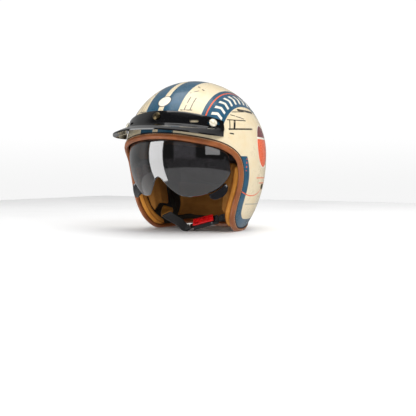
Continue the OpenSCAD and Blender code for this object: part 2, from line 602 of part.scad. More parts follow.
housing_half = 11.5;
housing_wall = 1.5;
housing_floor = -4;
pin_x = 13;
pin_z = 0.6;
pin_radius = 1.25;
module buckle_housing() color([0.07, 0.07, 0.07]) place() at_buckle() difference() {
    union() {
        translate([-20, -housing_half, housing_floor]) cube([38, 2 * housing_half, 1.6]);
        for (s = [-1, 1]) translate([0, s * (housing_half - housing_wall / 2) - housing_wall / 2, 0]) {
            translate([-18, 0, housing_floor]) cube([34, housing_wall, 7]);
            translate([15, 0, housing_floor]) cube([9, housing_wall, 4.6]);
        }
        crossbar(bar_x, bar_z, 2 * housing_half - 0.1, bar_radius);
    }
    crossbar(pin_x, pin_z, 40, pin_radius);
}

lever_half = 9.7;
lever_top = 5.8;
lug_width = 3.2;
module buckle_lever() color([0.85, 0.08, 0.1]) place() at_buckle() difference() {
    union() {
        translate([-19, -lever_half, lever_top - 2.6]) cube([36, 2 * lever_half, 2.6]);
        crossbar(-19, lever_top - 1.3, 2 * lever_half, 1.3);
        for (s = [-1, 1]) translate([0, s * (lever_half - lug_width / 2), 0]) {
            crossbar(pin_x, pin_z, lug_width, 2.6);
            translate([pin_x - 2.6, -lug_width / 2, pin_z]) cube([5.2, lug_width, 3]);
        }
        translate([-2, -3, -0.1]) cube([2.5, 6, 4]);
    }
    crossbar(pin_x, pin_z, 40, pin_radius + 0.05);
    translate([-16.5, -lever_half + 2, 3]) cube([6, 6, 4]);
}
module buckle_pin() color([0.75, 0.75, 0.78]) place() at_buckle()
    crossbar(pin_x, pin_z, 2 * housing_half - 0.2, pin_radius);

// Torsion spring wound on the pin
spring_turns = 3;
spring_length = 7;
spring_wire = 0.35;
module buckle_spring() color([0.8, 0.8, 0.82]) place() at_buckle() {
    steps = 14 * spring_turns;
    loft([for (i = [0:steps])
        let (turn = 360 * spring_turns * i / steps, out = [cos(turn), 0, sin(turn)],
            spot = [pin_x, spring_length * (i / steps - 0.5), pin_z] + (pin_radius + 0.6) * out)
        [for (k = [0:5]) spot + spring_wire * (cos(60 * k) * out + sin(60 * k) * [0, 1, 0])]]);
}

// Toothed tongue that clicks into the housing
tooth_pitch = 2.5;
teeth = 8;
tongue_half = 7;
module buckle_tongue() color([0.09, 0.09, 0.09]) place() at_buckle()
    translate([0, tongue_half, 0]) rotate([90, 0, 0]) linear_extrude(2 * tongue_half) polygon(concat(
        [[-27, -2.1], [1, -2.1], [1, -1.3]],
        [for (i = [0:teeth - 1]) each [[-i * tooth_pitch, -0.3], [-(i + 1) * tooth_pitch + 0.4, -1.2]]],
        [[-tooth_pitch * teeth, -0.3], [-27, -0.3]]));

outer_shell();
edge_trim();
edge_gasket();
impact_liner();
cheek_foam_left();
cheek_foam_right();
crown_liner();
brow_pad();
brow_clip();
neck_roll();
cheek_pad_left();
cheek_pad_right();
cheek_roll_left();
cheek_roll_right();
pad_snaps_left();
pad_snaps_right();
sun_visor_lens();
visor_tab_left();
visor_tab_right();
visor_arm_left();
visor_arm_right();
visor_rivets();
visor_pivot_left();
visor_pivot_right();
visor_bushes();
visor_clips();
peak();
peak_cap_centre();
peak_caps_side();
peak_studs();
goggle_tab_base();
goggle_tab_flap();
goggle_tab_cap();
goggle_tab_stud();
goggle_tab_rivets();
strap_webbing_left();
strap_webbing_right();
strap_sleeve_left();
strap_sleeve_right();
strap_anchors();
strap_rivets();
buckle_housing();
buckle_lever();
buckle_pin();
buckle_spring();
buckle_tongue();
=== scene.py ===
import math

import bmesh
import bpy
import numpy as np
from mathutils import Matrix, Vector
from mathutils.bvhtree import BVHTree


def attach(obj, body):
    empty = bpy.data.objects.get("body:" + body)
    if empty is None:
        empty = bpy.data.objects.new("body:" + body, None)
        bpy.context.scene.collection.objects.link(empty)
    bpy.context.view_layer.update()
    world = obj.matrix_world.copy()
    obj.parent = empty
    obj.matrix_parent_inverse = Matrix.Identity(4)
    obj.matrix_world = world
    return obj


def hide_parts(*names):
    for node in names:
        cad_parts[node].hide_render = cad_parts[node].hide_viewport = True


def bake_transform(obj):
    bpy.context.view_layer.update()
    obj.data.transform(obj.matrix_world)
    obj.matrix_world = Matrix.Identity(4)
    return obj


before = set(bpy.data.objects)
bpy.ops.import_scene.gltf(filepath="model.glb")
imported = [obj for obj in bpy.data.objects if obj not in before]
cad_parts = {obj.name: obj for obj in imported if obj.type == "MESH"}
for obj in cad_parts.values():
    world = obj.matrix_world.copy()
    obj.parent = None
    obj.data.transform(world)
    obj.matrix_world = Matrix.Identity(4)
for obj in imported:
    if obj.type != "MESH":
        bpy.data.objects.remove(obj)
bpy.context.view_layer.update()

# ---------------------------------------------------------------- the helmet's own shape, in mm
# The shell's centre is the origin here, x to the wearer's left, -y ahead, z up.

CENTRE = np.array([0.0, 10.25, 135.0])
HALF_WIDTH, FRONT, BACK, TOP, DROP, POWER = 122.5, 130.5, 144.5, 132.5, 181.5, 2.04
LENS_DEPTH = 7.3
SWING = (FRONT + TOP) / 2


def heading(az, el):
    az, el = np.radians(az), np.radians(el)
    return np.stack(np.broadcast_arrays(np.sin(az) * np.cos(el), -np.cos(az) * np.cos(el), np.sin(el)), -1)


def radii(d):
    return np.stack([np.full(d.shape[:-1], HALF_WIDTH), np.where(d[..., 1] < 0, FRONT, BACK),
                     np.where(d[..., 2] > 0, TOP, DROP)], -1)


def reach(d):
    return ((np.abs(d) / radii(d)) ** POWER).sum(-1) ** (-1 / POWER)


def unit(v):
    return v / np.linalg.norm(v, axis=-1, keepdims=True)


def outward(d):
    s, q = radii(d), reach(d)[..., None] * d
    return unit(np.sign(q) * (np.abs(q) / s) ** (POWER - 1) / s)


def skin(d, depth):
    return d * (reach(d) - depth / (d * outward(d)).sum(-1))[..., None]


def glide(a, b, c, d, t):
    return b + (c - a) * t / 2 + (2 * a - 5 * b + 4 * c - d) * t * t / 2 + (3 * b - a - 3 * c + d) * t**3 / 2


def curve(points, steps, closed=False):
    """A smooth line through points, with some steps between each two."""
    p = np.asarray(points, float)
    n = len(p)
    out = []
    for i in range(n if closed else n - 1):
        q = [p[(i + k) % n] if closed else p[min(max(i + k, 0), n - 1)] for k in (-1, 0, 1, 2)]
        out += [glide(*q, t / steps) for t in range(steps)]
    return np.array(out if closed else out + [p[-1]])


HALF_RIM = [(0, 15), (10, 14.7), (19, 14), (28, 12.8), (38, 11.2), (48, 9.2), (57, 6.3), (64.5, 2.2), (70, -3),
            (73, -10), (74.5, -18), (74.3, -26), (73, -34), (72.8, -41), (75, -47.8), (83, -53.4), (94, -56),
            (110, -55.9), (126, -53), (142, -50.6), (160, -50.4), (180, -51.3)]
RIM_STEPS = 8
marks = np.array(HALF_RIM + [(360 - a, e) for a, e in HALF_RIM[-2:0:-1]], float)
turned = np.concatenate([marks - [360, 0], marks, marks + [360, 0]])
n_marks = len(marks)
rim_angles = np.array([glide(*turned[n_marks + i - 1:n_marks + i + 3], k / RIM_STEPS)
                       for i in range(n_marks) for k in range(RIM_STEPS)])
rim_dirs = heading(rim_angles[:, 0], rim_angles[:, 1])
rim_spots = skin(rim_dirs, 0)
rim_out = outward(rim_dirs)
rim_past = unit(np.cross(np.roll(rim_spots, -1, 0) - np.roll(rim_spots, 1, 0), rim_out))
rim_length = np.concatenate([[0], np.cumsum(np.linalg.norm(np.roll(rim_spots, -1, 0) - rim_spots, axis=1))])


def on_rim(past, lift):
    """Ring of points beside the rim: past runs out over the opening, lift stands off the paint."""
    return rim_spots + past * rim_past + lift * rim_out


# ---------------------------------------------------------------- meshes

def metres(p):
    return (np.asarray(p, float).reshape(-1, 3) + CENTRE) / 1000


def make(name, points, faces, smooth_shading=True, fix=True):
    me = bpy.data.meshes.new(name)
    me.from_pydata(metres(points).tolist(), [], [list(map(int, f)) for f in faces])
    if fix:
        bm = bmesh.new()
        bm.from_mesh(me)
        bmesh.ops.recalc_face_normals(bm, faces=bm.faces)
        bm.to_mesh(me)
        bm.free()
    me.polygons.foreach_set("use_smooth", [smooth_shading] * len(me.polygons))
    ob = bpy.data.objects.new(name, me)
    bpy.context.scene.collection.objects.link(ob)
    return ob


def loft(rings, closed=False, caps=True):
    """Points and faces of a solid through a row of rings."""
    rings = np.asarray(rings, float)
    n, m = rings.shape[:2]
    faces = []
    for j in range(n if closed else n - 1):
        a, b = j * m, (j + 1) % n * m
        faces += [(a + k, a + (k + 1) % m, b + (k + 1) % m, b + k) for k in range(m)]
    if caps and not closed:
        faces += [tuple(range(m)), tuple((n - 1) * m + k for k in range(m - 1, -1, -1))]
    return rings.reshape(-1, 3), faces


def tube(path, radius, sides=8, closed=False, wide=None):
    """Round bar along a path, or an oval one where wide is given with the side it is wide along."""
    path = np.asarray(path, float)
    ahead = np.roll(path, -1, 0) - np.roll(path, 1, 0)
    if not closed:
        ahead[0], ahead[-1] = path[1] - path[0], path[-1] - path[-2]
    ahead = unit(ahead)
    ref = np.array([0.31, 0.17, 0.93])
    if wide is None:
        side = unit(np.cross(ahead, ref))
    else:
        side = unit(wide - (wide * ahead).sum(-1, keepdims=True) * ahead)
    other = np.cross(ahead, side)
    a = np.arange(sides) * 2 * math.pi / sides
    r = np.asarray(radius, float) * np.ones(2) if np.ndim(radius) <= 1 and np.size(radius) <= 2 else radius
    around = r[0] * np.cos(a)[:, None] * side[:, None] + r[1] * np.sin(a)[:, None] * other[:, None]
    return loft(path[:, None] + around, closed)


def join(parts):
    points, faces, base = [], [], 0
    for p, f in parts:
        p = np.asarray(p, float).reshape(-1, 3)
        points.append(p)
        faces += [tuple(i + base for i in q) for q in f]
        base += len(p)
    return np.concatenate(points), faces


def lathe(profile, sides=40):
    """Turned body about z from (radius, height) pairs."""
    a = np.arange(sides) * 2 * math.pi / sides
    rings = [np.stack([r * np.cos(a), r * np.sin(a), np.full(sides, h)], -1) for r, h in profile]
    return loft(rings)


def seat(points, spot, normal, turn=0.0):
    """Moves points from a frame with z up to one at spot with z along normal."""
    az = math.atan2(normal[1], normal[0])
    ti = math.acos(max(-1, min(1, normal[2])))
    m = Matrix.Rotation(az, 3, "Z") @ Matrix.Rotation(ti, 3, "Y") @ Matrix.Rotation(turn, 3, "Z")
    return np.asarray(points, float).reshape(-1, 3) @ np.array(m).T + np.asarray(spot, float)


def at_skin(part, az, el, lift=0.0, turn=0.0):
    d = heading(az, el)
    n = outward(d)
    return seat(part[0], skin(d, 0) + lift * n, n, turn), part[1]


def blob(length, width, height, rings=5, sides=8):
    """Small rounded stitch or bead lying along x."""
    t = np.linspace(-1, 1, rings + 2)[1:-1]
    a = np.arange(sides) * 2 * math.pi / sides
    r = np.sqrt(np.clip(1 - t**4, 0, 1))
    pts = [np.stack([np.full(sides, x * length / 2), q * width / 2 * np.cos(a), q * height / 2 * np.sin(a)], -1)
           for x, q in zip(t, r)]
    return loft(pts)


def piece(ob, body, material, replaces=()):
    ob.data.materials.clear()
    ob.data.materials.append(material)
    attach(ob, body)
    if replaces:
        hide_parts(*replaces)
    return ob


def modified(ob, *mods):
    """Adds modifiers, each (type, {settings}), and applies them."""
    for kind, settings in mods:
        m = ob.modifiers.new(kind, kind)
        for k, v in settings.items():
            setattr(m, k, v)
    bpy.context.view_layer.update()
    dg = bpy.context.evaluated_depsgraph_get()
    me = bpy.data.meshes.new_from_object(ob.evaluated_get(dg))
    ob.modifiers.clear()
    old = ob.data
    ob.data = me
    bpy.data.meshes.remove(old)
    return ob


def from_cad(name, *nodes, weld=0.00002, flat=0.3):
    """A copy of CAD nodes with its corners joined again, ready for finer mesh work."""
    bm = bmesh.new()
    for n in nodes:
        bm.from_mesh(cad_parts[n].data)
    bmesh.ops.remove_doubles(bm, verts=bm.verts, dist=weld)
    if flat:
        bmesh.ops.dissolve_limit(bm, angle_limit=math.radians(flat), verts=bm.verts, edges=bm.edges)
    me = bpy.data.meshes.new(name)
    bm.to_mesh(me)
    bm.free()
    ob = bpy.data.objects.new(name, me)
    bpy.context.scene.collection.objects.link(ob)
    return ob


def soften(ob, width=0.3, segments=2, angle=32):
    """Rounds the hard edges of a moulded or machined piece."""
    modified(ob, ("BEVEL", {"width": width / 1000, "segments": segments, "limit_method": "ANGLE",
                            "angle_limit": math.radians(angle), "harden_normals": False}))
    me = ob.data
    me.polygons.foreach_set("use_smooth", [True] * len(me.polygons))
    me.set_sharp_from_angle(angle=math.radians(40))
    return ob


# ---------------------------------------------------------------- shader values

class V:
    """A number in a node tree, with arithmetic."""

    def __init__(self, tree, socket):
        self.t, self.s = tree, socket

    def math(self, kind, *others, first=None):
        n = self.t.nodes.new("ShaderNodeMath")
        n.operation = kind
        for i, v in enumerate([self if first is None else first, *others]):
            if isinstance(v, V):
                self.t.links.new(v.s, n.inputs[i])
            else:
                n.inputs[i].default_value = v
        return V(self.t, n.outputs[0])

    def __add__(self, o): return self.math("ADD", o)
    def __sub__(self, o): return self.math("SUBTRACT", o)
    def __mul__(self, o): return self.math("MULTIPLY", o)
    def __truediv__(self, o): return self.math("DIVIDE", o)
    def __radd__(self, o): return self.math("ADD", o)
    def __rmul__(self, o): return self.math("MULTIPLY", o)
    def __rsub__(self, o): return self.math("SUBTRACT", self, first=o)
    def __abs__(self): return self.math("ABSOLUTE")
    def max(self, *o):
        v = self
        for q in o:
            v = v.math("MAXIMUM", q)
        return v
    def min(self, *o):
        v = self
        for q in o:
            v = v.math("MINIMUM", q)
        return v
    def wrap(self, period): return self.math("WRAP", period, 0.0)
    def power(self, p): return self.math("POWER", p)
    def ramp(self, lo, hi, a=0.0, b=1.0):
        """a below lo, b above hi, smooth in between."""
        n = self.t.nodes.new("ShaderNodeMapRange")
        n.interpolation_type = "SMOOTHSTEP"
        for i, v in zip((1, 2, 3, 4), (lo, hi, a, b)):
            n.inputs[i].default_value = v
        self.t.links.new(self.s, n.inputs[0])
        return V(self.t, n.outputs[0])
    def inside(self, soft=0.15): return self.ramp(-soft, soft, 1.0, 0.0)


class Finish:
    """A material with a Principled shader, built up by layers."""

    def __init__(self, name, color, rough=0.5, **sockets):
        self.m = bpy.data.materials.new(name)
        self.m.use_nodes = True
        self.t = self.m.node_tree
        self.b = self.t.nodes["Principled BSDF"]
        self.set("Base Color", (*color, 1))
        self.set("Roughness", rough)
        for k, v in sockets.items():
            self.set(k.replace("_", " "), v)
        self.m.diffuse_color = (*color, 1)
        co = self.t.nodes.new("ShaderNodeTexCoord").outputs["Object"]
        n = self.t.nodes.new("ShaderNodeVectorMath")
        n.operation = "MULTIPLY_ADD"
        n.inputs[1].default_value = (1000, 1000, 1000)
        n.inputs[2].default_value = tuple(-CENTRE)
        self.t.links.new(co, n.inputs[0])
        self.p = n.outputs[0]
        x = self.t.nodes.new("ShaderNodeSeparateXYZ")
        self.t.links.new(self.p, x.inputs[0])
        self.x, self.y, self.z = (V(self.t, o) for o in x.outputs)

    def set(self, socket, value):
        self.b.inputs[socket].default_value = value

    def scaled(self, sx=1, sy=1, sz=1):
        n = self.t.nodes.new("ShaderNodeVectorMath")
        n.operation = "MULTIPLY"
        n.inputs[1].default_value = (sx, sy, sz)
        self.t.links.new(self.p, n.inputs[0])
        return n.outputs[0]

    def vector(self, x, y, z):
        n = self.t.nodes.new("ShaderNodeCombineXYZ")
        for i, v in enumerate((x, y, z)):
            if isinstance(v, V):
                self.t.links.new(v.s, n.inputs[i])
            else:
                n.inputs[i].default_value = v
        return n.outputs[0]

    def noise(self, size, detail=3.0, rough=0.55, at=None):
        """Noise from 0 to 1 whose grains are about size mm across."""
        n = self.t.nodes.new("ShaderNodeTexNoise")
        n.inputs["Scale"].default_value = 1 / size
        n.inputs["Detail"].default_value = detail
        n.inputs["Roughness"].default_value = rough
        self.t.links.new(at or self.p, n.inputs["Vector"])
        return V(self.t, n.outputs[0])

    def cells(self, size, kind="F1", at=None):
        n = self.t.nodes.new("ShaderNodeTexVoronoi")
        n.feature = kind
        n.inputs["Scale"].default_value = 1 / size
        self.t.links.new(at or self.p, n.inputs["Vector"])
        return V(self.t, n.outputs["Distance"])

    def attribute(self, name):
        n = self.t.nodes.new("ShaderNodeAttribute")
        n.attribute_name = name
        return V(self.t, n.outputs["Fac"])

    def mix(self, under, over, mask):
        """Colour over on top of under where mask is 1."""
        n = self.t.nodes.new("ShaderNodeMix")
        n.data_type = "RGBA"
        for i, v in ((6, under), (7, over)):
            if isinstance(v, bpy.types.NodeSocket):
                self.t.links.new(v, n.inputs[i])
            else:
                n.inputs[i].default_value = (*v, 1)
        if isinstance(mask, V):
            self.t.links.new(mask.s, n.inputs[0])
        else:
            n.inputs[0].default_value = mask
        return n.outputs[2]

    def color(self, socket):
        self.t.links.new(socket, self.b.inputs["Base Color"])

    def rough(self, value):
        self.t.links.new(value.s, self.b.inputs["Roughness"])

    def bump(self, height, depth_mm=0.2, strength=1.0):
        """Surface relief; height from 0 to 1 stands for depth_mm."""
        n = self.t.nodes.new("ShaderNodeBump")
        n.inputs["Strength"].default_value = strength
        n.inputs["Distance"].default_value = depth_mm / 1000
        self.t.links.new(height.s, n.inputs["Height"])
        if self.b.inputs["Normal"].is_linked:
            self.t.links.new(self.b.inputs["Normal"].links[0].from_socket, n.inputs["Normal"])
        self.t.links.new(n.outputs[0], self.b.inputs["Normal"])


def srgb(r, g, b):
    return tuple(((c / 255 + 0.055) / 1.055) ** 2.4 if c > 10 else c / 255 / 12.92 for c in (r, g, b))


# ---------------------------------------------------------------- materials

CREAM, BLUE, NAVY = srgb(226, 211, 179), srgb(22, 75, 100), srgb(20, 48, 80)
ORANGE, MAROON, WHITE, INK = srgb(232, 92, 34), srgb(112, 24, 30), srgb(236, 230, 214), srgb(22, 20, 18)


def leather(name, color, dark, grain=1.3, rough=0.42, depth=0.1):
    f = Finish(name, color, rough, Coat_Weight=0.08, Coat_Roughness=0.35)
    tone = f.noise(16, 4).ramp(0.35, 0.7)
    creases = f.cells(grain, "DISTANCE_TO_EDGE").ramp(0.0, 0.12, 0.6, 0.0)
    f.color(f.mix(f.mix(color, dark, tone * 0.55), dark, creases))
    f.rough(f.noise(7, 3).ramp(0.3, 0.7, rough - 0.06, rough + 0.12))
    f.bump(f.cells(grain, "DISTANCE_TO_EDGE").ramp(0.0, 0.25), depth, 0.6)
    f.bump(f.noise(0.35, 2), depth * 0.4, 0.4)
    return f


def suede(name, color, dark, light):
    f = Finish(name, color, 0.92, Sheen_Weight=0.35, Sheen_Roughness=0.45, Specular_IOR_Level=0.15)
    f.set("Sheen Tint", (*light, 1))
    brushed = f.noise(34, 4, 0.55)
    worn = f.noise(20, 3, 0.6, f.scaled(1, 0.6, 1.5)).ramp(0.45, 0.8) * 0.5
    c = f.mix(f.mix(color, dark, brushed.ramp(0.4, 0.75) * 0.4), light, worn)
    f.color(f.mix(c, dark, f.noise(0.5, 2).ramp(0.4, 0.75) * 0.35))
    f.bump(f.noise(0.6, 3, 0.7), 0.12, 0.7)
    f.bump(brushed, 0.4, 0.3)
    return f


def plastic(name, color, rough, grain=0.5, **kw):
    f = Finish(name, color, rough, **kw)
    f.rough(f.noise(5, 3).ramp(0.3, 0.75, max(0.02, rough - 0.05), rough + 0.09))
    f.bump(f.noise(grain, 2), 0.03, 0.5)
    return f


def metal(name, color, rough):
    f = Finish(name, color, rough, Metallic=1.0)
    f.rough(f.noise(2.5, 4).ramp(0.3, 0.7, rough - 0.08, rough + 0.12))
    f.color(f.mix(color, tuple(c * 0.45 for c in color), f.noise(3, 5, 0.65).ramp(0.52, 0.75)))
    f.bump(f.noise(0.5, 3), 0.03, 0.4)
    return f


def woven(name, color, light, pitch=0.9):
    f = Finish(name, color, 0.82, Sheen_Weight=0.12, Sheen_Roughness=0.4)
    u, v = f.attribute("u"), f.attribute("v")
    a = (abs(u.wrap(pitch) - pitch / 2) * (2 / pitch))
    row = (abs((v + u * 0.5).wrap(pitch * 1.4) - pitch * 0.7) * (2 / (pitch * 1.4)))
    knit = (a * 0.6 + row * 0.6).ramp(0.15, 0.95)
    f.color(f.mix(color, light, knit * 0.6 + f.noise(0.8, 2).ramp(0.5, 0.8) * 0.3))
    f.bump(knit, 0.25, 0.9)
    return f


def paint():
    """Cream shell paint with printed bands, measured in the shell's own millimetres."""
    f = Finish("shell_paint", CREAM, 0.3, Coat_Weight=0.55, Coat_Roughness=0.12)
    x, y, z = f.x, f.y, f.z
    ax = abs(x)
    wob = (f.noise(5, 3) - 0.5) * 0.7
    rub = f.noise(2.2, 5, 0.75)
    old = f.noise(26, 4, 0.6)
    # blue runs darker, towards navy, and carries more dark streaks towards the back of the shell
    toward_back = y.ramp(40, 135)
    base = f.mix(CREAM, srgb(222, 198, 150), old.ramp(0.42, 0.72) * 0.55)
    base = f.mix(base, srgb(150, 128, 98), rub.ramp(0.74, 0.82) * 0.5)
    blue = f.mix(f.mix(BLUE, srgb(48, 96, 130), old.ramp(0.45, 0.75) * 0.5), NAVY, toward_back * 0.85)
    streaks = f.noise(3, 4, 0.7, f.scaled(1, 0.12, 0.12))
    blue = f.mix(blue, INK, streaks.ramp(0.56, 0.72) * (toward_back * 0.8 + 0.05))

    def line(u, v, a, b, w):
        """Distance to a straight stroke from a to b in the u, v plane, less half its width."""
        length = math.dist(a, b)
        e = ((b[0] - a[0]) / length, (b[1] - a[1]) / length)
        du, dv = u - a[0], v - a[1]
        along = du * e[0] + dv * e[1]
        return abs(dv * e[0] - du * e[1]).max(abs(along - length / 2) - (length / 2 - w)) - w

    def oval(u, v, hu, hv):
        return ((u / hu) * (u / hu) + (v / hv) * (v / hv)).power(0.5) * hv - hv

    worn = rub.ramp(0.66, 0.74, 1.0, 0.0)
    layers = []
    # racing stripes
    stripes = (5.0 - ax).max(ax - 33.0) + wob * 0.5
    layers.append((blue, stripes.inside(), worn))
    # arched band over each side, its thin line and its row of chevrons
    cut = y.ramp(-2, 2, 46, 38) - z
    band = (68.3 - ax).max(ax - 97.0, cut) + wob * 0.5
    layers.append((blue, band.inside(), worn))
    layers.append((ORANGE, (abs(ax - 74.2) - 0.8).max(cut + 1.0).inside(), rub.ramp(0.6, 0.68, 1.0, 0.0)))
    around = z.math("ARCTAN2", y) * 92.0
    across = abs(ax - 86.5)
    chevron = (abs((around - across * 0.75).wrap(15.0) - 7.5) * 0.8 - 2.3).max(across - 6.8, cut + 7.0)
    gaps = f.noise(1.6, 4, 0.8).ramp(0.6, 0.68, 1.0, 0.0)
    layers.append((WHITE, (chevron + wob * 0.6).inside(), gaps))
    # border round the face opening and the lower edge, from the baked distance
    layers.append((blue, (f.attribute("border") + wob * 0.4).inside(), worn))
    tick = (abs(y + 26.6) - 1.1).max(abs((z + 18.0).wrap(7.0) - 3.5) - 1.6, abs(z + 18.0) - 10.5)
    side = ax.ramp(60, 62)
    layers.append((ORANGE, tick.inside(), side))
    wave = (abs(z + 71.4 - (y - 4.0) * (y - 4.0) * 0.0068) - 0.85).max(y - 62.0)
    layers.append((ORANGE, wave.inside(), side))
    # plain pinstripes
    low = (abs(z + y * 0.03 + 86.0) - 0.7).max(abs(y - 22.0) - 33.0)
    layers.append((srgb(150, 146, 136), low.inside(), side * gaps))
    upper = (abs(z + 40.5) - 0.8).max(abs(y - 40.0) - 30.0)
    lower = (abs(z + 49.5) - 0.8).max(abs(y - 44.0) - 20.0)
    layers.append((ORANGE, upper.min(lower).inside(), side))
    # two-coloured oval on each side, with nothing printed in it
    patch = oval(y - 38.0, z - 15.0, 29.0, 38.0)
    layers.append((WHITE, patch.inside(), side))
    layers.append((ORANGE, (patch + 1.8).max(z - 27.5).inside(), side * rub.ramp(0.62, 0.7, 1.0, 0.0)))
    layers.append((MAROON, (patch + 1.8).max(31.0 - z).inside(), side * rub.ramp(0.62, 0.7, 1.0, 0.0)))
    # plain disc at the front and the rear
    front = y.ramp(-61, -59, 1.0, 0.0)
    rear = y.ramp(100, 102)
    lean = (y + 97.0) * 0.656 + (z - 88.6) * 0.755
    for u, v, on in ((x, lean, front), (x, z + 27.0, rear)):
        disc = oval(u, v, 12.9, 12.9)
        layers.append((INK, disc.inside(), on))
        layers.append((WHITE, (disc + 1.4).inside(), on))
    # printed wear: broken outlines, scratches and specks
    ahead = y.ramp(-6, 0, 1.0, 0.0)
    dash = f.noise(9, 3, 0.6).ramp(0.4, 0.46)
    ink = None
    for u, v, a, b, w in ((ax, z, (42, 73), (42, 96), .35), (ax, z, (50.5, 73), (50.5, 94), .35),
                          (ax, z, (35, 72.4), (54, 72.0), .4), (ax, z, (36, 103), (46, 107.5), .35),
                          (ax, z, (38, 116), (52, 108), .3)):
        k = line(u, v, a, b, w * 1.7)
        ink = k if ink is None else ink.min(k)
    layers.append((INK, (ink + wob * 0.5).inside(0.2), ahead * dash))
    ink = None
    for a, b, w in (((-57, 57), (-14, 57.2), .7), ((-52, 57), (-58, 40), .7), ((-42, 57), (-49, 41), 1.5),
                    ((-60, 41), (0, 43.6), 1.1), ((-46, 66), (-17, 60), .6), ((-60, 34), (-52, 33.4), 1.0),
                    ((-24, 75.6), (30, 74), 1.7), ((-40, 71), (-6, 73.5), .6), ((92, -3), (98, 30), .5),
                    ((85, 34), (112, 33), .5)):
        k = line(y, z, a, b, w * 1.2)
        ink = k if ink is None else ink.min(k)
    layers.append((INK, (ink + wob).inside(0.25), side * f.noise(5, 4, 0.7).ramp(0.34, 0.42)))
    # brushed marks low on the back
    brush = f.noise(4.5, 4, 0.7, f.vector((x + z * 0.5) * 1.0, y * 0.2, (z - x * 0.5) * 0.12))
    zone = ax.ramp(42, 50) * ax.ramp(76, 84, 1.0, 0.0) * z.ramp(-58, -48, 1.0, 0.0) * y.ramp(20, 40)
    layers.append((INK, brush.ramp(0.55, 0.62), zone))
    drop = z + 16.3
    curve_back = (abs(y - 102.5 + drop * (-0.45) - drop * drop * 0.004) - 0.7).max(abs(z + 44.0) - 27.0)
    layers.append((ORANGE, curve_back.inside(), side * y.ramp(50, 55)))
    scratch = f.noise(2.6, 3, 0.6, f.vector(x * 0.9, (y - z) * 0.12, (y + z) * 0.9))
    layers.append((srgb(70, 58, 44), scratch.ramp(0.735, 0.76), old.ramp(0.45, 0.6) * 0.8))
    speck = f.noise(1.1, 2, 0.5)
    layers.append((INK, speck.ramp(0.735, 0.755), f.noise(17, 2).ramp(0.48, 0.6) * 0.85))
    color = base
    for over, mask, keep in layers:
        color = f.mix(color, over, mask * keep)
    f.color(color)
    f.rough((rub * 0.6 + old * 0.4).ramp(0.3, 0.8, 0.24, 0.42))
    f.bump(f.noise(0.9, 2), 0.015, 0.35)
    f.bump(f.noise(30, 2), 0.15, 0.12)
    return f.m


M = {}
M["paint"] = paint()
M["shell_inside"] = plastic("shell_inside", srgb(60, 55, 48), 0.7, 0.8).m
M["trim"] = leather("trim_leather", srgb(160, 92, 46), srgb(104, 54, 26), 1.1, 0.4, 0.07).m
M["thread"] = plastic("thread", srgb(214, 186, 152), 0.75, 0.25).m
M["piping"] = plastic("piping", srgb(16, 15, 15), 0.5, 0.6).m
M["suede"] = suede("suede", srgb(200, 134, 58), srgb(150, 92, 36), srgb(224, 166, 92)).m
# Suede inside the shell, for the neck roll and cheek pads: a darker copy of the outer suede, its darker tone being
# painted shade for the inside of the helmet
M["shaded_inner_suede"] = suede("shaded_inner_suede", srgb(150, 100, 46), srgb(92, 60, 28), srgb(178, 126, 66)).m
M["suede_seam"] = suede("suede_seam", srgb(150, 92, 36), srgb(96, 56, 22), srgb(190, 130, 64)).m
M["tab_leather"] = leather("tab_leather", srgb(150, 92, 44), srgb(92, 50, 24), 1.5, 0.5, 0.1).m


def foam_finish():
    f = Finish("foam", srgb(44, 36, 31), 0.85)
    beads = f.cells(3.2)
    f.color(f.mix(srgb(50, 40, 33), srgb(24, 20, 17), f.cells(3.2, "DISTANCE_TO_EDGE").ramp(0, 0.08, 1, 0)))
    f.bump(beads.ramp(0.0, 0.6, 1, 0), 0.35, 0.8)
    return f.m


def mesh_cloth():
    f = Finish("lining_cloth", srgb(52, 34, 22), 0.9, Sheen_Weight=0.2, Sheen_Roughness=0.5)
    holes = f.cells(1.9).ramp(0.18, 0.3)
    cloth = f.mix(srgb(66, 42, 26), srgb(44, 28, 18), f.noise(18, 3).ramp(0.4, 0.7))
    f.color(f.mix(srgb(16, 10, 7), cloth, holes))
    f.bump(holes, 0.4, 0.9)
    return f.m


def lens_finish():
    f = Finish("smoke_lens", (0.1, 0.095, 0.105), 0.02, Transmission_Weight=1.0, IOR=1.52, Coat_Weight=1.0,
               Coat_Roughness=0.01, Coat_IOR=1.9)
    f.rough(f.noise(30, 3).ramp(0.4, 0.8, 0.012, 0.035))
    f.bump(f.noise(45, 1), 0.05, 0.05)
    return f.m


def gloss_black():
    f = Finish("gloss_black", srgb(12, 12, 14), 0.09, Coat_Weight=0.6, Coat_Roughness=0.03,
               Specular_IOR_Level=0.6)
    f.rough(f.noise(6, 4).ramp(0.45, 0.8, 0.06, 0.16))
    scratch = f.noise(1.2, 3, 0.6, f.scaled(0.1, 1, 1))
    f.color(f.mix(srgb(11, 11, 13), srgb(46, 48, 54), scratch.ramp(0.7, 0.76) * 0.35))
    f.bump(f.noise(4, 2), 0.012, 0.3)
    return f.m


def pearl():
    f = Finish("pearl", srgb(226, 218, 196), 0.16, Coat_Weight=0.8, Coat_Roughness=0.05, Sheen_Weight=0.1)
    f.color(f.mix(srgb(232, 226, 208), srgb(188, 178, 152), f.noise(4, 3).ramp(0.4, 0.7)))
    f.rough(f.noise(3, 2).ramp(0.3, 0.7, 0.1, 0.24))
    return f.m


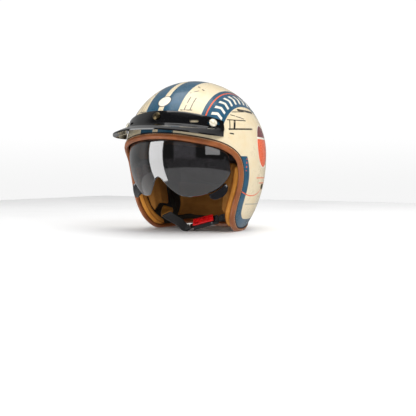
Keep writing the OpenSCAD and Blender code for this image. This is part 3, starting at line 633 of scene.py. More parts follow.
M["foam"] = foam_finish()
M["cloth"] = mesh_cloth()
M["lens"] = lens_finish()
M["smoke"] = plastic("smoke_plastic", srgb(24, 24, 27), 0.16, 0.8, Coat_Weight=0.5, Coat_Roughness=0.05).m
M["gloss"] = gloss_black()
M["pearl"] = pearl()
M["bronze"] = metal("bronze", srgb(104, 92, 68), 0.32).m
M["steel"] = metal("steel", srgb(172, 172, 176), 0.3).m
M["black"] = plastic("black_plastic", srgb(24, 24, 25), 0.42, 0.45).m
M["grey"] = plastic("grey_plastic", srgb(120, 120, 122), 0.5, 0.5).m
M["red"] = plastic("red_plastic", srgb(214, 24, 26), 0.24, 0.7, Coat_Weight=0.4, Coat_Roughness=0.1).m
M["nylon"] = plastic("nylon", srgb(222, 218, 206), 0.5, 0.6).m
M["webbing"] = woven("webbing", srgb(14, 14, 15), srgb(50, 50, 52)).m


# ---------------------------------------------------------------- domes and the shell

def swing(a, b, t):
    w = np.arccos(np.clip((a * b).sum(-1), -1, 1))[..., None]
    return (np.sin((1 - t) * w) * a + np.sin(t * w) * b) / np.sin(w)


def dome(edge, outer, inner, rows):
    """Curved sheet from the crown out to an edge, between two depths that are functions of direction."""
    pole, n = heading(180, 40), len(edge)
    dirs = np.concatenate([[pole]] + [swing(pole, edge, i / rows) for i in range(1, rows + 1)])
    size = len(dirs)
    k = np.arange(n)
    nxt = (k + 1) % n
    top = [(0, 1 + a, 1 + b) for a, b in zip(k, nxt)]
    bands = [(1 + i * n + a, 1 + (i + 1) * n + a, 1 + (i + 1) * n + b, 1 + i * n + b)
             for i in range(rows - 1) for a, b in zip(k, nxt)]
    under = [tuple(v + size for v in f[::-1]) for f in top + bands]
    last = size - n
    rim = [(last + b, last + a, last + a + size, last + b + size) for a, b in zip(k, nxt)]
    return np.concatenate([skin(dirs, outer(dirs)), skin(dirs, inner(dirs))]), top + bands + under + rim


def store(ob, name, values):
    ob.data.attributes.new(name, "FLOAT", "POINT").data.foreach_set("value", np.asarray(values, np.float32))


TRIM_GRIP, TRIM_WIDTH, WALL = 5.5, 9.5, 3.5
shell_points, shell_faces = dome(unit(rim_spots + TRIM_GRIP * rim_past), lambda d: 0.0, lambda d: WALL, 104)
shell = make("shell", shell_points, shell_faces)
near = np.concatenate([np.linalg.norm(part[:, None] - rim_spots[None], axis=2)[None].min(0).argmin(1)
                       for part in np.array_split(shell_points, 80)])
gap = np.linalg.norm(shell_points - rim_spots[near], axis=1)
near_az = np.abs((rim_angles[near, 0] + 180) % 360 - 180)
band_width = np.interp(near_az, [70, 75, 83, 94, 110, 126, 142, 180], [16, 16, 17, 19.5, 20, 17, 12, 10])
border = np.maximum(gap - band_width, shell_points[:, 2] + 3.5)
border = np.where(shell_points[:, 1] > 0, np.maximum(border, 42 - np.abs(shell_points[:, 0])), border)
store(shell, "border", border)
piece(shell, "helmet", M["paint"], ["outer_shell"])
shell.data.materials.append(M["shell_inside"])
half = len(shell_points) // 2
inner_face = [all(v >= half for v in p.vertices) for p in shell.data.polygons]
shell.data.polygons.foreach_set("material_index", [int(v) for v in inner_face])

# ---------------------------------------------------------------- trim, stitches and piping

low = -WALL - 0.4
section = np.concatenate([
    curve([(0, 0.2), (0.5, 1.4), (2.2, 2.1), (TRIM_WIDTH - 3.2, 2.3), (TRIM_WIDTH - 1.1, 1.0),
           (TRIM_WIDTH, -1.6), (TRIM_WIDTH - 1.1, -4.2), (TRIM_WIDTH - 3, low - 1.65)], 3),
    [(1.5, low - 1.7), (1.5, low), (TRIM_GRIP + 0.3, low), (TRIM_GRIP + 0.3, 0.2)]])
beside, above = section[None, :, :1] * rim_past[:, None], section[None, :, 1:] * rim_out[:, None]
rings = rim_spots[:, None] + beside + above
rings[..., 2] = np.maximum(rings[..., 2], -CENTRE[2] + 0.02)
piece(make("trim", *loft(rings, closed=True)), "helmet", M["trim"], ["edge_trim"])


def ring_place(distance, past, lift):
    """Place, direction along the rim and outward normal at a distance round the rim."""
    length = rim_length[:-1]
    i = min(int(np.searchsorted(rim_length, distance, "right")) - 1, len(length) - 1)
    j = (i + 1) % len(length)
    t = (distance - rim_length[i]) / (rim_length[i + 1] - rim_length[i])
    at = [a[i] * (1 - t) + a[j] * t for a in (rim_spots, rim_past, rim_out)]
    ahead = unit(rim_spots[j] - rim_spots[i])
    return at[0] + past * at[1] + lift * at[2], ahead, unit(at[2])


def turned_to(part, spot, ahead, normal, dip=0.0):
    """Puts a part that lies along x, with z up, at a spot on a surface."""
    across = unit(np.cross(normal, ahead))
    ahead = unit(ahead - dip * normal)
    up = np.cross(ahead, across)
    return part[0] @ np.stack([ahead, across, up]) + spot, part[1]


stitch = blob(2.6, 0.75, 0.7)
count = int(rim_length[-1] / 3.6)
parts = []
for k in range(count):
    spot, ahead, normal = ring_place(k * rim_length[-1] / count, 1.7, 1.95)
    parts.append(turned_to(stitch, spot, unit(ahead + 0.18 * np.cross(normal, ahead)), normal))
piece(make("trim_stitching", *join(parts)), "helmet", M["thread"])
piece(make("piping", *tube(on_rim(-0.95, 0.55), (0.72, 0.62), 12, closed=True, wide=rim_past)), "helmet",
      M["piping"], ["edge_gasket"])

# ---------------------------------------------------------------- lining

FOAM, CLOTH_GAP, LINING = 33.0, 0.5, 40.0


def crown_edge(az):
    return 1 + 30 * np.cos(np.radians(az))


az = np.arange(0, 360, 3.0)
crown_rim = heading(az, crown_edge(az))


def crown_inner(d):
    """Quilted head side: channels on a diamond grid, thin towards the edge."""
    turn = np.degrees(np.arctan2(d[..., 0], -d[..., 1]))
    up = np.degrees(np.arcsin(np.clip(d[..., 2], -1, 1)))
    u, v = d[..., 0] * 95, d[..., 1] * 95
    edge = np.clip((up - crown_edge(turn)) / 5, 0, 1) ** 0.5
    channel = np.minimum(np.abs((u + v) % 26 - 13), np.abs((u - v) % 26 - 13))
    soft = 1 - np.exp(-(channel / 3.2) ** 2)
    return FOAM + 1.4 + (LINING - FOAM - 1.4) * edge * (0.62 + 0.38 * soft)


crown = make("crown_liner_quilt", *dome(crown_rim, lambda d: FOAM + CLOTH_GAP, crown_inner, 48))
piece(crown, "helmet", M["cloth"], ["crown_liner"])
bead = skin(crown_rim, FOAM + 2.2)
piece(make("crown_liner_binding", *tube(bead, (1.3, 1.3), 8, closed=True)), "helmet",
      M["cloth"])
for name in ("impact_liner", "cheek_foam_left", "cheek_foam_right"):
    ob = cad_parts[name]
    ob.data.materials.clear()
    ob.data.materials.append(M["foam"])


def puffed(name, node, voxel=3.2, room=0.5, push=4.0, smooths=6):
    """A padded body grown inside a CAD pad: remeshed, blown up under pressure, then kept within its space."""
    ob = from_cad(name, node, flat=0)
    source = ob.data.copy()
    modified(ob, ("REMESH", {"mode": "VOXEL", "voxel_size": voxel / 1000}),
             ("SMOOTH", {"factor": 0.6, "iterations": smooths}))
    cloth = ob.modifiers.new("cloth", "CLOTH")
    cloth.settings.use_pressure = True
    cloth.settings.uniform_pressure_force = push
    cloth.settings.effector_weights.gravity = 0
    cloth.settings.quality = 4
    cloth.settings.tension_stiffness = 25
    cloth.settings.compression_stiffness = 25
    for f in range(1, 21):
        bpy.context.scene.frame_set(f)
    modified(ob)
    bpy.context.scene.frame_set(1)
    bm = bmesh.new()
    bm.from_mesh(source)
    bmesh.ops.triangulate(bm, faces=bm.faces)
    tree = BVHTree.FromBMesh(bm)
    for v in ob.data.vertices:
        spot, normal, _, far = tree.find_nearest(v.co)
        over = (v.co - spot).dot(normal) * 1000
        if over > -room:
            v.co = spot - normal * room / 1000
    bm.free()
    modified(ob, ("SMOOTH", {"factor": 0.5, "iterations": 2}),
             ("SUBSURF", {"levels": 1, "subdivision_type": "CATMULL_CLARK"}))
    ob.data.polygons.foreach_set("use_smooth", [True] * len(ob.data.polygons))
    return ob


# the neck roll and cheek pads take the darker suede copy, painted shade for the inside of the helmet
for node, body_slot, finish in (("brow_pad", "suede", "suede"), ("neck_roll", "lining_cloth", "shaded_inner_suede"),
                                ("cheek_pad_left", "lining_cloth", "shaded_inner_suede"),
                                ("cheek_pad_right", "lining_cloth", "shaded_inner_suede")):
    piece(puffed(node + "_padding", node), "helmet", M[finish], [node])

# The padded roll inside the trim, with a sewn welt along its outer side
ROLL_OUT, ROLL_IN = 6.4, 19.0
per = RIM_STEPS
start, stop = 9 * per, 16 * per
roll_section = curve([(-5.5, 8), (-5.5, 14.5), (-3.5, 17.6), (0.8, 19), (4.6, 18.2), (7.6, 15.4), (8.6, 11.6),
                      (7.6, 7.6), (4.5, 6.5), (-2.5, 6.5)], 4, closed=True)
middle = np.array([1.5, (ROLL_OUT + ROLL_IN) / 2])
for side, name in ((1, "left"), (-1, "right")):
    rings, welt = [], []
    for j in range(start, stop + 1):
        end = min(j - start, stop - j) / per
        size = 0.42 + 0.58 * math.sqrt(min(1, end / 1.1))
        fold = 1 + 0.012 * math.sin(j * 0.9) + 0.01 * math.sin(j * 0.37 + 1)
        q = middle + size * fold * (roll_section - middle)
        q[:, 1] = np.clip(q[:, 1], ROLL_OUT + 0.05, ROLL_IN)
        rings.append(rim_spots[j] + q[:, :1] * rim_past[j] - q[:, 1:] * rim_out[j])
        w = middle + size * (np.array([7.9, 15.2]) - middle)
        welt.append(rim_spots[j] + w[0] * rim_past[j] - w[1] * rim_out[j])
    flip_side = np.array([side, 1, 1])
    ob = make("cheek_roll_cover_" + name, *loft(np.array(rings) * flip_side))
    piece(modified(ob, ("SUBSURF", {"levels": 1})), "helmet", M["suede"], ["cheek_roll_" + name])
    ob.data.polygons.foreach_set("use_smooth", [True] * len(ob.data.polygons))
    piece(make("cheek_roll_welt_" + name, *tube(np.array(welt) * flip_side, (0.8, 0.8), 8)), "helmet",
          M["suede_seam"])


# ---------------------------------------------------------------- sun visor

LENS_WALL = 2.0
LENS_LOW = [(0, -18.5), (3, -20.5), (6, -25), (10, -30.5), (15, -36), (21, -39), (28, -41), (36, -43),
            (43, -43.7), (48, -43.3), (53, -40.5), (58, -36), (61, -30)]
LENS_HIGH = [(0, 16), (40, 17), (61, 20)]
LENS_END = 61.0


def smooth_table(table, steps=6):
    c = curve([(-table[1][0], table[1][1])] + table, steps)
    return lambda a: np.interp(np.abs(a), c[:, 0], c[:, 1])


lens_low, lens_high = smooth_table(LENS_LOW), smooth_table(LENS_HIGH)


def visor_reach(a, depth):
    s, c = np.abs(np.sin(np.radians(a))), np.abs(np.cos(np.radians(a)))
    return ((s / (HALF_WIDTH - depth)) ** POWER + (c / (SWING - depth)) ** POWER) ** (-1 / POWER)


def visor_spot(a, tilt, depth):
    r, s, c = visor_reach(a, depth), np.sin(np.radians(a)), np.cos(np.radians(a))
    t = np.radians(tilt)
    return np.stack(np.broadcast_arrays(r * s, -r * c * np.cos(t), r * c * np.sin(t)), -1)


def lens_mesh(steps=150, rows=56):
    """Two curved sheets joined round a rounded edge."""
    a = np.linspace(-LENS_END, LENS_END, steps + 1)[:, None]
    t = np.linspace(0, 1, rows + 1)[None]
    tilt = lens_low(a) + (lens_high(a) - lens_low(a)) * t
    near_end = np.clip((LENS_END - np.abs(a)) / 0.5, 0, 1)
    near_side = np.clip(np.minimum(t, 1 - t) * (lens_high(a) - lens_low(a)) / 0.5, 0, 1)
    full = np.sqrt(1 - (1 - np.minimum(near_end, near_side)) ** 2) * (LENS_WALL / 2 - 0.25) + 0.25
    mid = LENS_DEPTH + LENS_WALL / 2
    out = visor_spot(a, tilt, mid - full)
    inn = visor_spot(a, tilt, mid + full)
    n, m = out.shape[:2]
    idx = np.arange(n * m).reshape(n, m)
    quads = np.stack([idx[:-1, :-1], idx[1:, :-1], idx[1:, 1:], idx[:-1, 1:]], -1).reshape(-1, 4)
    ring = np.concatenate([idx[:, 0], idx[-1, 1:], idx[-2::-1, -1], idx[0, -2:0:-1]])
    k = n * m
    side = [(r, s, s + k, r + k) for r, s in zip(ring, np.roll(ring, -1))]
    faces = [tuple(q) for q in quads] + [tuple(q[::-1] + k) for q in quads] + side
    return np.concatenate([out.reshape(-1, 3), inn.reshape(-1, 3)]), faces


piece(make("lens", *lens_mesh()), "visor", M["lens"], ["sun_visor_lens"])

for side, name in ((1, "left"), (-1, "right")):
    rings = []
    for t in np.linspace(-1, 1, 33):
        a = 44 + 8 * t
        edge, swell = float(lens_low(a)), math.sqrt(1 - 0.96 * t * t)
        degree = 57.3 / (float(visor_reach(a, LENS_DEPTH)) * math.cos(math.radians(a)))
        corners = [(LENS_DEPTH - 0.4, 0.6), (-6 * swell + 1, 2 + 6 * swell), (-6 * swell + 3, 4.4 + 6 * swell),
                   (LENS_DEPTH + LENS_WALL + 0.4, 3.4)]
        line = []
        for (d0, e0), (d1, e1) in zip(corners, corners[1:] + corners[:1]):
            line += [(d0 + (d1 - d0) * q, e0 + (e1 - e0) * q) for q in (0.08, 0.36, 0.64, 0.92)]
        rings.append([visor_spot(a, edge - e * degree, d) for d, e in line])
    rings = np.array(rings, float)
    rings[..., 0] *= side
    piece(soften(make("visor_tab_grip_" + name, *loft(rings)), 0.25, 2, 50), "visor", M["smoke"],
          ["visor_tab_" + name])

# ---------------------------------------------------------------- peak

PEAK_END, PEAK_LIFT, PEAK_WALL = 55.0, 1.6, 2.4
PEAK_SNAPS = [(0, 27.4), (45.8, 22.4), (-45.8, 22.4)]


def bow(az):
    return math.cos(math.radians(90 * az / PEAK_END))


def band_top(az):
    return 24 + 8 * bow(az) ** 0.8


def band_foot(az):
    return 17.5 + 2 * bow(az)


def brim_bend(az):
    return band_foot(az) + 0.6 + 2 * bow(az)


def brim_spot(t):
    c = math.cos(math.radians(t)) ** (2 / 2.5)
    s = math.copysign(abs(math.sin(math.radians(t))) ** (2 / 2.5), t)
    return np.array([101 * s, -66 - 99 * c, 38 - 10 * abs(s) ** 2.2])


def peak_ring(t):
    az = t * PEAK_END / 88
    foot, top, bend = band_foot(az), band_top(az), brim_bend(az)
    out, raised = -PEAK_LIFT - PEAK_WALL, np.array([0, 0, PEAK_WALL])
    tip, edge = brim_spot(t), skin(heading(az, bend), out)
    low = skin(heading(az, foot), -PEAK_LIFT)
    crest = (edge + tip + raised) / 2 + [0, 0, 1.5]
    middle = (low + tip) / 2 + [0, 0, 1.5]
    band = [skin(heading(az, top + (bend - top) * k / 5), out) for k in range(6)]
    rise = curve([band[-2], edge, crest, tip + raised], 6)[6:]
    under = curve([tip, middle, low], 6)
    inside = [skin(heading(az, foot + (top - foot) * k / 6), -PEAK_LIFT) for k in range(1, 7)]
    return np.array(band[:-1] + list(rise) + list(under) + inside)


peak = make("peak_moulding", *loft([peak_ring(t) for t in np.linspace(-88, 88, 177)]))


def slot_shape(length, width, height=12):
    a = np.linspace(-90, 90, 17)
    half, r = (length - width) / 2, width / 2
    line = [(half + r * math.cos(math.radians(q)), r * math.sin(math.radians(q))) for q in a]
    line += [(-x, -y) for x, y in line]
    rings = np.array([[(x, y, z) for x, y in line] for z in (0, height)])
    return loft(rings)


holes = [at_skin(slot_shape(6.3, 6.2), 0, 27.4, -1, math.pi / 2)]
for s in (1, -1):
    holes += [at_skin(slot_shape(22, 6.4), s * 46.6, 22.4, -1, math.pi / 2),
              at_skin(slot_shape(15, 4.5), s * 31.2, 23.4, -1, math.pi / 2)]
tool = make("cutter", *join(holes), smooth_shading=False)
modified(peak, ("BOOLEAN", {"operation": "DIFFERENCE", "object": tool, "solver": "EXACT"}))
bpy.data.objects.remove(tool)
soften(peak, 0.45, 3, 28)
piece(peak, "helmet", M["gloss"], ["peak"])


# ---------------------------------------------------------------- snaps and rivets

def snap_cap(radius, base, bore=2.0):
    """Domed cap with a rolled edge, on a hollow barrel."""
    dome_line = [(radius * math.cos(math.radians(t)), base + 1.0 + 2.4 * math.sin(math.radians(t)))
                 for t in range(8, 90, 8)]
    barrel = [(0.05, base - 0.3), (bore, base - 0.3), (bore, 1.45), (2.9, 1.45), (2.9, base)]
    rolled = [(radius - 0.7, base), (radius - 0.15, base + 0.15), (radius, base + 0.55), (radius, base + 1.0)]
    return lathe(barrel + rolled + dome_line + [(0.05, base + 3.4)], 56)


CAP_BASE = PEAK_LIFT + PEAK_WALL + 0.2
piece(make("cap_centre", *at_skin(snap_cap(7.3, CAP_BASE), *PEAK_SNAPS[0])), "helmet", M["bronze"],
      ["peak_cap_centre"])
side_caps = [at_skin(snap_cap(6.8, CAP_BASE), *spot) for spot in PEAK_SNAPS[1:]]
piece(make("caps_side", *join(side_caps)), "helmet", M["pearl"], ["peak_caps_side"])
TAB_LIFT, TAB_LEATHER, TAB_SNAP = 0.6, 2.2, (180, -34.6)
piece(make("tab_cap", *at_skin(snap_cap(6.0, TAB_LIFT + TAB_LEATHER + 0.5, 2.2), *TAB_SNAP)), "flap",
      M["pearl"], ["goggle_tab_cap"])

# CAD nodes whose shape is right, by material
CAD_FINISHES = {
    "grey": ["brow_clip"],
    "black": ["pad_snaps_left", "pad_snaps_right", "visor_arm_left", "visor_arm_right", "visor_rivets"],
    "steel": ["visor_pivot_left", "visor_pivot_right", "visor_clips", "peak_studs", "goggle_tab_stud",
              "strap_anchors", "buckle_pin", "buckle_spring"],
    "nylon": ["visor_bushes"],
    "bronze": ["goggle_tab_rivets", "strap_rivets"]}
for finish, name in [(f, name) for f, names in CAD_FINISHES.items() for name in names]:
    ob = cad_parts[name]
    ob.data.materials.clear()
    ob.data.materials.append(M[finish])
    if name != "buckle_spring":
        b = ob.modifiers.new("edges", "BEVEL")
        b.width, b.segments, b.limit_method, b.angle_limit = 0.00022, 2, "ANGLE", math.radians(40)

# ---------------------------------------------------------------- goggle strap tab

BASE_ROWS = [(-26.2, 14), (-26.8, 15), (-28.7, 15)]
FLAP_ROWS = [(-29.5, 15), (-33, 15), (-33.9, 13), (-34.6, 11.4), (-36.4, 10.6), (-37.6, 8), (-38.1, 4)]


def leather_piece(rows, steps):
    rows = curve(rows, steps)
    across = np.linspace(-0.988, 0.988, 25)
    section = [(-1, 0.5)] + [(u, 0.0) for u in across] + [(1, 0.5)] + [(u, 1.0) for u in across[::-1]]
    rings = []
    for i, (el, wide) in enumerate(rows):
        end = min(i, len(rows) - 1 - i)
        thin = 1.0 if end else 0.72
        base = skin(heading(180, el), 0)
        half = math.degrees(math.asin(wide / np.linalg.norm(base))) / math.cos(math.radians(el))
        rings.append([skin(heading(180 + half * u, el), -(TAB_LIFT + TAB_LEATHER * (0.5 + (v - 0.5) * thin)))
                      for u, v in section])
    return loft(rings)


def tab_stitches(rows, inset, ends):
    """Stitches round the inside of a leather outline."""
    rows = curve(rows, 8)
    side = np.array([(el, wide - inset) for el, wide in rows])
    line = np.concatenate([side * [1, 1], side[::-1] * [1, -1]] if ends else [side])
    spots = []
    for el, wide in line:
        base = np.linalg.norm(skin(heading(180, el), 0))
        half = math.degrees(math.asin(wide / base)) / math.cos(math.radians(el))
        d = heading(180 + half, el)
        spots.append(skin(d, -(TAB_LIFT + TAB_LEATHER + 0.05)))
    spots = np.array(spots)
    run = np.concatenate([[0], np.cumsum(np.linalg.norm(np.diff(spots, axis=0), axis=1))])
    out = []
    for q in np.arange(1.2, run[-1] - 1.2, 3.0):
        p = np.array([np.interp(q, run, spots[:, k]) for k in range(3)])
        g = unit(np.array([np.interp(q + 0.4, run, spots[:, k]) - np.interp(q - 0.4, run, spots[:, k])
                           for k in range(3)]))
        out.append(turned_to(blob(2.1, 0.6, 0.55), p, g, outward(unit(p))))
    return join(out)


piece(make("tab_base", *leather_piece(BASE_ROWS, 5)), "helmet", M["tab_leather"],
      ["goggle_tab_base"])
flap = make("tab_flap", *leather_piece(FLAP_ROWS, 5))
piece(flap, "flap", M["tab_leather"], ["goggle_tab_flap"])
crease = skin(heading(180, -29.3), -TAB_LIFT - TAB_LEATHER / 2)
roll = np.array([crease + [x, 0, 0] for x in np.linspace(-14.4, 14.4, 25)])
piece(make("tab_crease", *tube(roll, (1.08, 1.08), 14)), "flap", M["tab_leather"])
piece(make("tab_stitching", *tab_stitches(FLAP_ROWS[:-1], 1.9, True)), "flap", M["thread"])

# ---------------------------------------------------------------- chin strap and buckle

BUCKLE = np.array([33, -22, -118.5])
turn = (Matrix.Rotation(math.radians(24.7), 3, "Z") @ Matrix.Rotation(math.radians(-15.7), 3, "Y")
        @ Matrix.Rotation(math.radians(27), 3, "X"))
TURN = np.array(turn)


def buckle_at(v):
    return BUCKLE + TURN @ np.asarray(v, float)


ANCHOR = (112, -25)
d_anchor = heading(*ANCHOR)
anchor = skin(d_anchor, 0) - 8 * outward(d_anchor)
flip = np.array([-1, 1, 1])
across_buckle = TURN @ np.array([0, 1, 0])
LEFT = [(anchor, (-0.37, 0.93, 0)), ((97, 43, -76), (-0.3, 0.95, 0)), ((87.5, 37, -98), (-0.3, 0.95, 0.05)),
        ((80, 22, -108.5), (-0.45, 0.85, 0.3)), ((68, 6, -109), (-0.45, 0.8, 0.4)),
        (buckle_at([33, 0, -1.5]), across_buckle), (buckle_at([26, 0, -1.5]), across_buckle)]
RIGHT = [(anchor * flip, (0.37, 0.93, 0)), ((-97, 43, -76), (0.3, 0.95, 0)), ((-87.5, 37, -98), (0.3, 0.95, 0.05)),
         ((-79, 21, -107.5), (0.42, 0.85, 0.3)), ((-66, 3, -108.5), (0.38, 0.8, 0.4)),
         ((-49, -14, -111.5), (0.3, 0.8, 0.45)), ((-20, -27.5, -119.5), (-0.15, 0.85, 0.45)),
         (buckle_at([-36, 0, -1.2]), across_buckle), (buckle_at([-28, 0, -1.2]), across_buckle)]


def route(stops, start, end, steps):
    """Places, widthwise directions and faces along a strap between two stops."""
    p = np.array([s[0] for s in stops], float)
    a = np.array([s[1] for s in stops], float)
    n = len(p)

    def at(k, t):
        i = np.minimum(np.floor(t), n - 2).astype(int)
        c = [np.clip(i + o, 0, n - 1) for o in (-1, 0, 1, 2)]
        return glide(*(k[j] for j in c), (t - i)[:, None])
    t = np.linspace(start, end, int((end - start) * steps) + 1)
    spots = at(p, t)
    ahead = unit(at(p, np.minimum(t + 0.05, n - 1)) - at(p, np.maximum(t - 0.05, 0)))
    wide = at(a, t)
    wide = unit(wide - (wide * ahead).sum(1, keepdims=True) * ahead)
    return spots, ahead, wide, np.cross(ahead, wide)


def strap(name, stops, start, end, half, thick, steps=16, columns=12, swell=0.0):
    spots, ahead, wide, face = route(stops, start, end, steps)
    across = np.linspace(-1, 1, columns + 1)
    flat = half - 0.35
    outline = [(u * flat, thick) for u in across] + [(half, 0)] + [(u * flat, -thick) for u in across[::-1]]
    outline += [(-half, 0)]
    rings = [[s + u * w + v * f for u, v in outline] for s, w, f in zip(spots, wide, face)]
    ob = make(name, *loft(rings))
    run = np.concatenate([[0], np.cumsum(np.linalg.norm(np.diff(spots, axis=0), axis=1))])
    store(ob, "u", np.tile([u for u, _ in outline], len(spots)))
    store(ob, "v", np.repeat(run, len(outline)))
    return ob


left_webbing = strap("webbing_left", LEFT, 0, 6, 9.5, 0.9)
piece(left_webbing, "helmet", M["webbing"], ["strap_webbing_left"])
a = np.arange(0, 2 * math.pi, math.pi / 16)
loop = []
for y in np.linspace(-9.5, 9.5, 13):
    loop.append([buckle_at((22 + 3.6 * math.cos(q), y, -1.5 + 3.6 * math.sin(q))) for q in a])
inner = []
for y in np.linspace(9.5, -9.5, 13):
    inner.append([buckle_at((22 + 1.8 * math.cos(q), y, -1.5 + 1.8 * math.sin(q))) for q in a])
ob = make("webbing_loop", *loft(loop + inner, closed=True))
over = np.linspace(-9.5, 9.5, 13)
store(ob, "u", np.repeat(np.concatenate([over, over[::-1]]), len(a)))
store(ob, "v", list(a * 3.0) * 26)
piece(ob, "helmet", M["webbing"])

right_webbing = strap("webbing_right", RIGHT, 0, 8, 9.5, 0.9)
right_webbing.data.materials.append(M["webbing"])
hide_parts("strap_webbing_right")
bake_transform(right_webbing)


def sleeve(name, stops, start, end, node, phase):
    """Padded suede tube round the webbing, gathered a little along its length."""
    steps = 14
    spots, ahead, wide, face = route(stops, start, end, steps)
    n = len(spots)
    q = np.arange(0, 2 * math.pi, math.pi / 20)
    run = np.concatenate([[0], np.cumsum(np.linalg.norm(np.diff(spots, axis=0), axis=1))])
    end_dist = np.minimum(run, run[-1] - run)
    outer, lining = [], []
    for s, w, f, r, e in zip(spots, wide, face, run, end_dist):
        plump = 0.55 + 0.45 * math.sqrt(min(1, (e + 0.2) / 5))
        fold = 0.22 * math.sin(r / 2.6 + phase) + 0.14 * math.sin(r / 1.3 + 2 * phase)
        half, thick = 9.8 + 1.55 * plump, 1.2 + (1.55 + fold * (e > 3)) * plump
        outer.append([s + w * half * math.copysign(abs(math.cos(k)) ** 0.5, math.cos(k))
                      + f * thick * math.copysign(abs(math.sin(k)) ** 0.75, math.sin(k)) for k in q])
        lining.append([s + w * 9.75 * math.copysign(abs(math.cos(k)) ** 0.35, math.cos(k))
                       + f * 1.12 * math.copysign(abs(math.sin(k)) ** 0.35, math.sin(k)) for k in q])
    ob = make(name, *loft(outer + lining[::-1], closed=True))
    piece(ob, "helmet", M["suede"], [node])
    parts = []
    outer = np.array(outer)
    for edge in (2, n - 3):
        ring = outer[edge]
        normals = unit(ring - ring.mean(0))
        parts.append(tube(ring + 0.12 * normals, (0.45, 0.45), 6, closed=True))
    piece(make(name + "_hems", *join(parts)), "helmet", M["suede_seam"])
    parts = []
    for side in (1, -1):
        for row in (4, 16):
            k = row if side == 1 else 40 - row
            line = outer[:, k % 40]
            lengths = np.concatenate([[0], np.cumsum(np.linalg.norm(np.diff(line, axis=0), axis=1))])
            for p in np.arange(2.5, lengths[-1] - 2.5, 3.3):
                c = np.array([np.interp(p, lengths, line[:, i]) for i in range(3)])
                g = unit(np.array([np.interp(p + 0.5, lengths, line[:, i]) - np.interp(p - 0.5, lengths, line[:, i])
                                   for i in range(3)]))
                j = min(int(p / lengths[-1] * (n - 1)), n - 1)
                up = unit(c - spots[j] - ((c - spots[j]) @ g) * g)
                parts.append(turned_to(blob(2.2, 0.55, 0.5), c + 0.02 * up, g, face[j] * side))
    piece(make(name + "_stitches", *join(parts)), "helmet", M["thread"])


sleeve("sleeve_left", LEFT, 2, 4, "strap_sleeve_left", 0.4)
sleeve("sleeve_right", RIGHT, 2, 4, "strap_sleeve_right", 1.3)

piece(soften(from_cad("buckle_body", "buckle_housing"), 0.4, 3), "helmet", M["black"],
      ["buckle_housing"])
piece(soften(from_cad("buckle_clasp", "buckle_lever"), 0.55, 3), "lever", M["red"],
      ["buckle_lever"])
piece(soften(from_cad("buckle_teeth", "buckle_tongue"), 0.18, 2), "tongue", M["black"],
      ["buckle_tongue"])


def bar(x0, x1, y0, y1, z, r):
    path = [(x0, y0, z), ((x0 + x1) / 2, (y0 + y1) / 2, z), (x1, y1, z)]
    return tube([buckle_at(q) for q in path], (r, r), 10)


ribs = [bar(x, x, -7.2, 7.2, 5.8, 0.38) for x in (-7, -5, -3, -1, 1)]
piece(make("clasp_ribs", *join(ribs)), "lever", M["red"])

# ---------------------------------------------------------------- floor, light and camera

def plain(name, color, rough=0.9):
    f = Finish(name, color, rough)
    f.color(f.mix(color, tuple(c * 0.97 for c in color), f.noise(220, 3).ramp(0.4, 0.7)))
    return f.m


floor = bpy.data.meshes.new("floor")
side = 1.3
floor.from_pydata([(-side, -side, 0), (side, -side, 0), (side, side, 0), (-side, side, 0)], [], [(0, 1, 2, 3)])
floor = bpy.data.objects.new("floor", floor)
bpy.context.scene.collection.objects.link(floor)
floor.data.materials.append(plain("floor", (0.91, 0.91, 0.91)))
floor.location.z = -0.0002
floor.visible_glossy = False

CAMERA_AZ, CAMERA_EL, CAMERA_FAR = math.radians(32.45), math.radians(-1.36), 1.25234
FOCAL = 686.95
centre = Vector(CENTRE) / 1000
back = Vector((math.sin(CAMERA_AZ) * math.cos(CAMERA_EL), -math.cos(CAMERA_AZ) * math.cos(CAMERA_EL),
               math.sin(CAMERA_EL)))
camera = bpy.data.objects.new("camera", bpy.data.cameras.new("camera"))
bpy.context.scene.collection.objects.link(camera)
bpy.context.scene.camera = camera
camera.data.sensor_width = 36
camera.data.lens = FOCAL * 36 / 416
camera.data.clip_end = 200
camera.location = centre + back * CAMERA_FAR
look = back.to_track_quat("Z", "Y").to_matrix()
aim = Vector((-12.4 / FOCAL, 52.66 / FOCAL, -1)).normalized()
pitch = math.asin(aim.y)
yaw = math.atan2(-aim.x, -aim.z)
turn_back = Matrix.Rotation(yaw, 3, "Y") @ Matrix.Rotation(pitch, 3, "X")
camera.rotation_euler = (look @ turn_back.inverted()).to_euler()

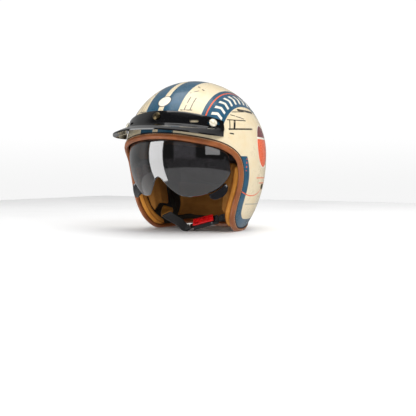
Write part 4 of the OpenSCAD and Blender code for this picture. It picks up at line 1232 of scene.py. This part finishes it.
world = bpy.data.worlds.new("studio")
bpy.context.scene.world = world
world.use_nodes = True
t = world.node_tree
direction = t.nodes.new("ShaderNodeTexCoord").outputs["Generated"]
dot = t.nodes.new("ShaderNodeVectorMath")
dot.operation = "DOT_PRODUCT"
t.links.new(direction, dot.inputs[0])
dot.inputs[1].default_value = (math.sin(CAMERA_AZ), -math.cos(CAMERA_AZ), 0.0)
towards = V(t, dot.outputs["Value"])
split = t.nodes.new("ShaderNodeSeparateXYZ")
t.links.new(direction, split.inputs[0])
height = V(t, split.outputs[2])
front = height.ramp(-0.36, -0.33, 0.42, 0.05).max(height.ramp(0.75, 0.95) * 0.4)
background = t.nodes["Background"]
behind = towards.ramp(-0.3, 0.05, 1.0, 0.0)
white = height.ramp(-0.03, 0.1, 0.92, 1.05).max(height.ramp(-0.12, -0.06, 1.05, 0.92))
split_y = V(t, split.outputs[1])
turned = split_y.math("MULTIPLY", -1.0)
around = V(t, split.outputs[0]).math("ARCTAN2", turned) * 57.3
level = height.math("ARCSINE") * 57.3


def patch(turn, half_turn, lift, half_lift, soft_turn, soft_lift):
    """1 inside a stretch of sky, in degrees round and up, and 0 outside, with soft sides."""
    beside = (abs(around - turn) - half_turn).ramp(*soft_turn, 1.0, 0.0)
    return beside * (abs(level - lift) - half_lift).ramp(*soft_lift, 1.0, 0.0)


panel = patch(-36.0, 14.0, -4.0, 34.0, (-1.0, 1.0), (-2.0, 2.0))
glow = patch(-62.0, 13.0, -4.0, 34.0, (-12.0, 3.0), (-10.0, 4.0))
window = patch(70.0, 13.0, 9.0, 9.0, (-1.0, 1.0), (-1.0, 1.0))
studio = front.max(panel * 4.2, glow * 0.25, window * 1.3)
rays = t.nodes.new("ShaderNodeLightPath").outputs
seen_directly, mirrored = V(t, rays["Is Camera Ray"]), V(t, rays["Is Glossy Ray"])
lit = studio + behind * (white - front) * (mirrored * -0.75 + 1.0)
t.links.new((lit + seen_directly * (white - lit)).s, background.inputs["Strength"])
background.inputs["Color"].default_value = (1, 1, 1, 1)


def softbox(name, az, el, far, width, height, power, target=(0, 0, 0.12), seen=True):
    """Area light at an azimuth and height round the helmet, facing it."""
    lamp = bpy.data.lights.new(name, "AREA")
    lamp.shape, lamp.size, lamp.size_y, lamp.energy = "RECTANGLE", width, height, power
    ob = bpy.data.objects.new(name, lamp)
    bpy.context.scene.collection.objects.link(ob)
    d = Vector(heading(az, el).tolist())
    ob.location = Vector(target) + d * far
    ob.rotation_euler = d.to_track_quat("Z", "Y").to_euler()
    ob.visible_glossy = seen
    return ob


softbox("key", 80, 42, 1.8, 1.2, 1.2, 21, seen=False)
softbox("fill", 20, 10, 2.2, 1.6, 1.2, 17, seen=False)
softbox("overhead", 10, 85, 1.7, 1.6, 1.2, 11)

scene = bpy.context.scene
scene.view_settings.view_transform = "Standard"
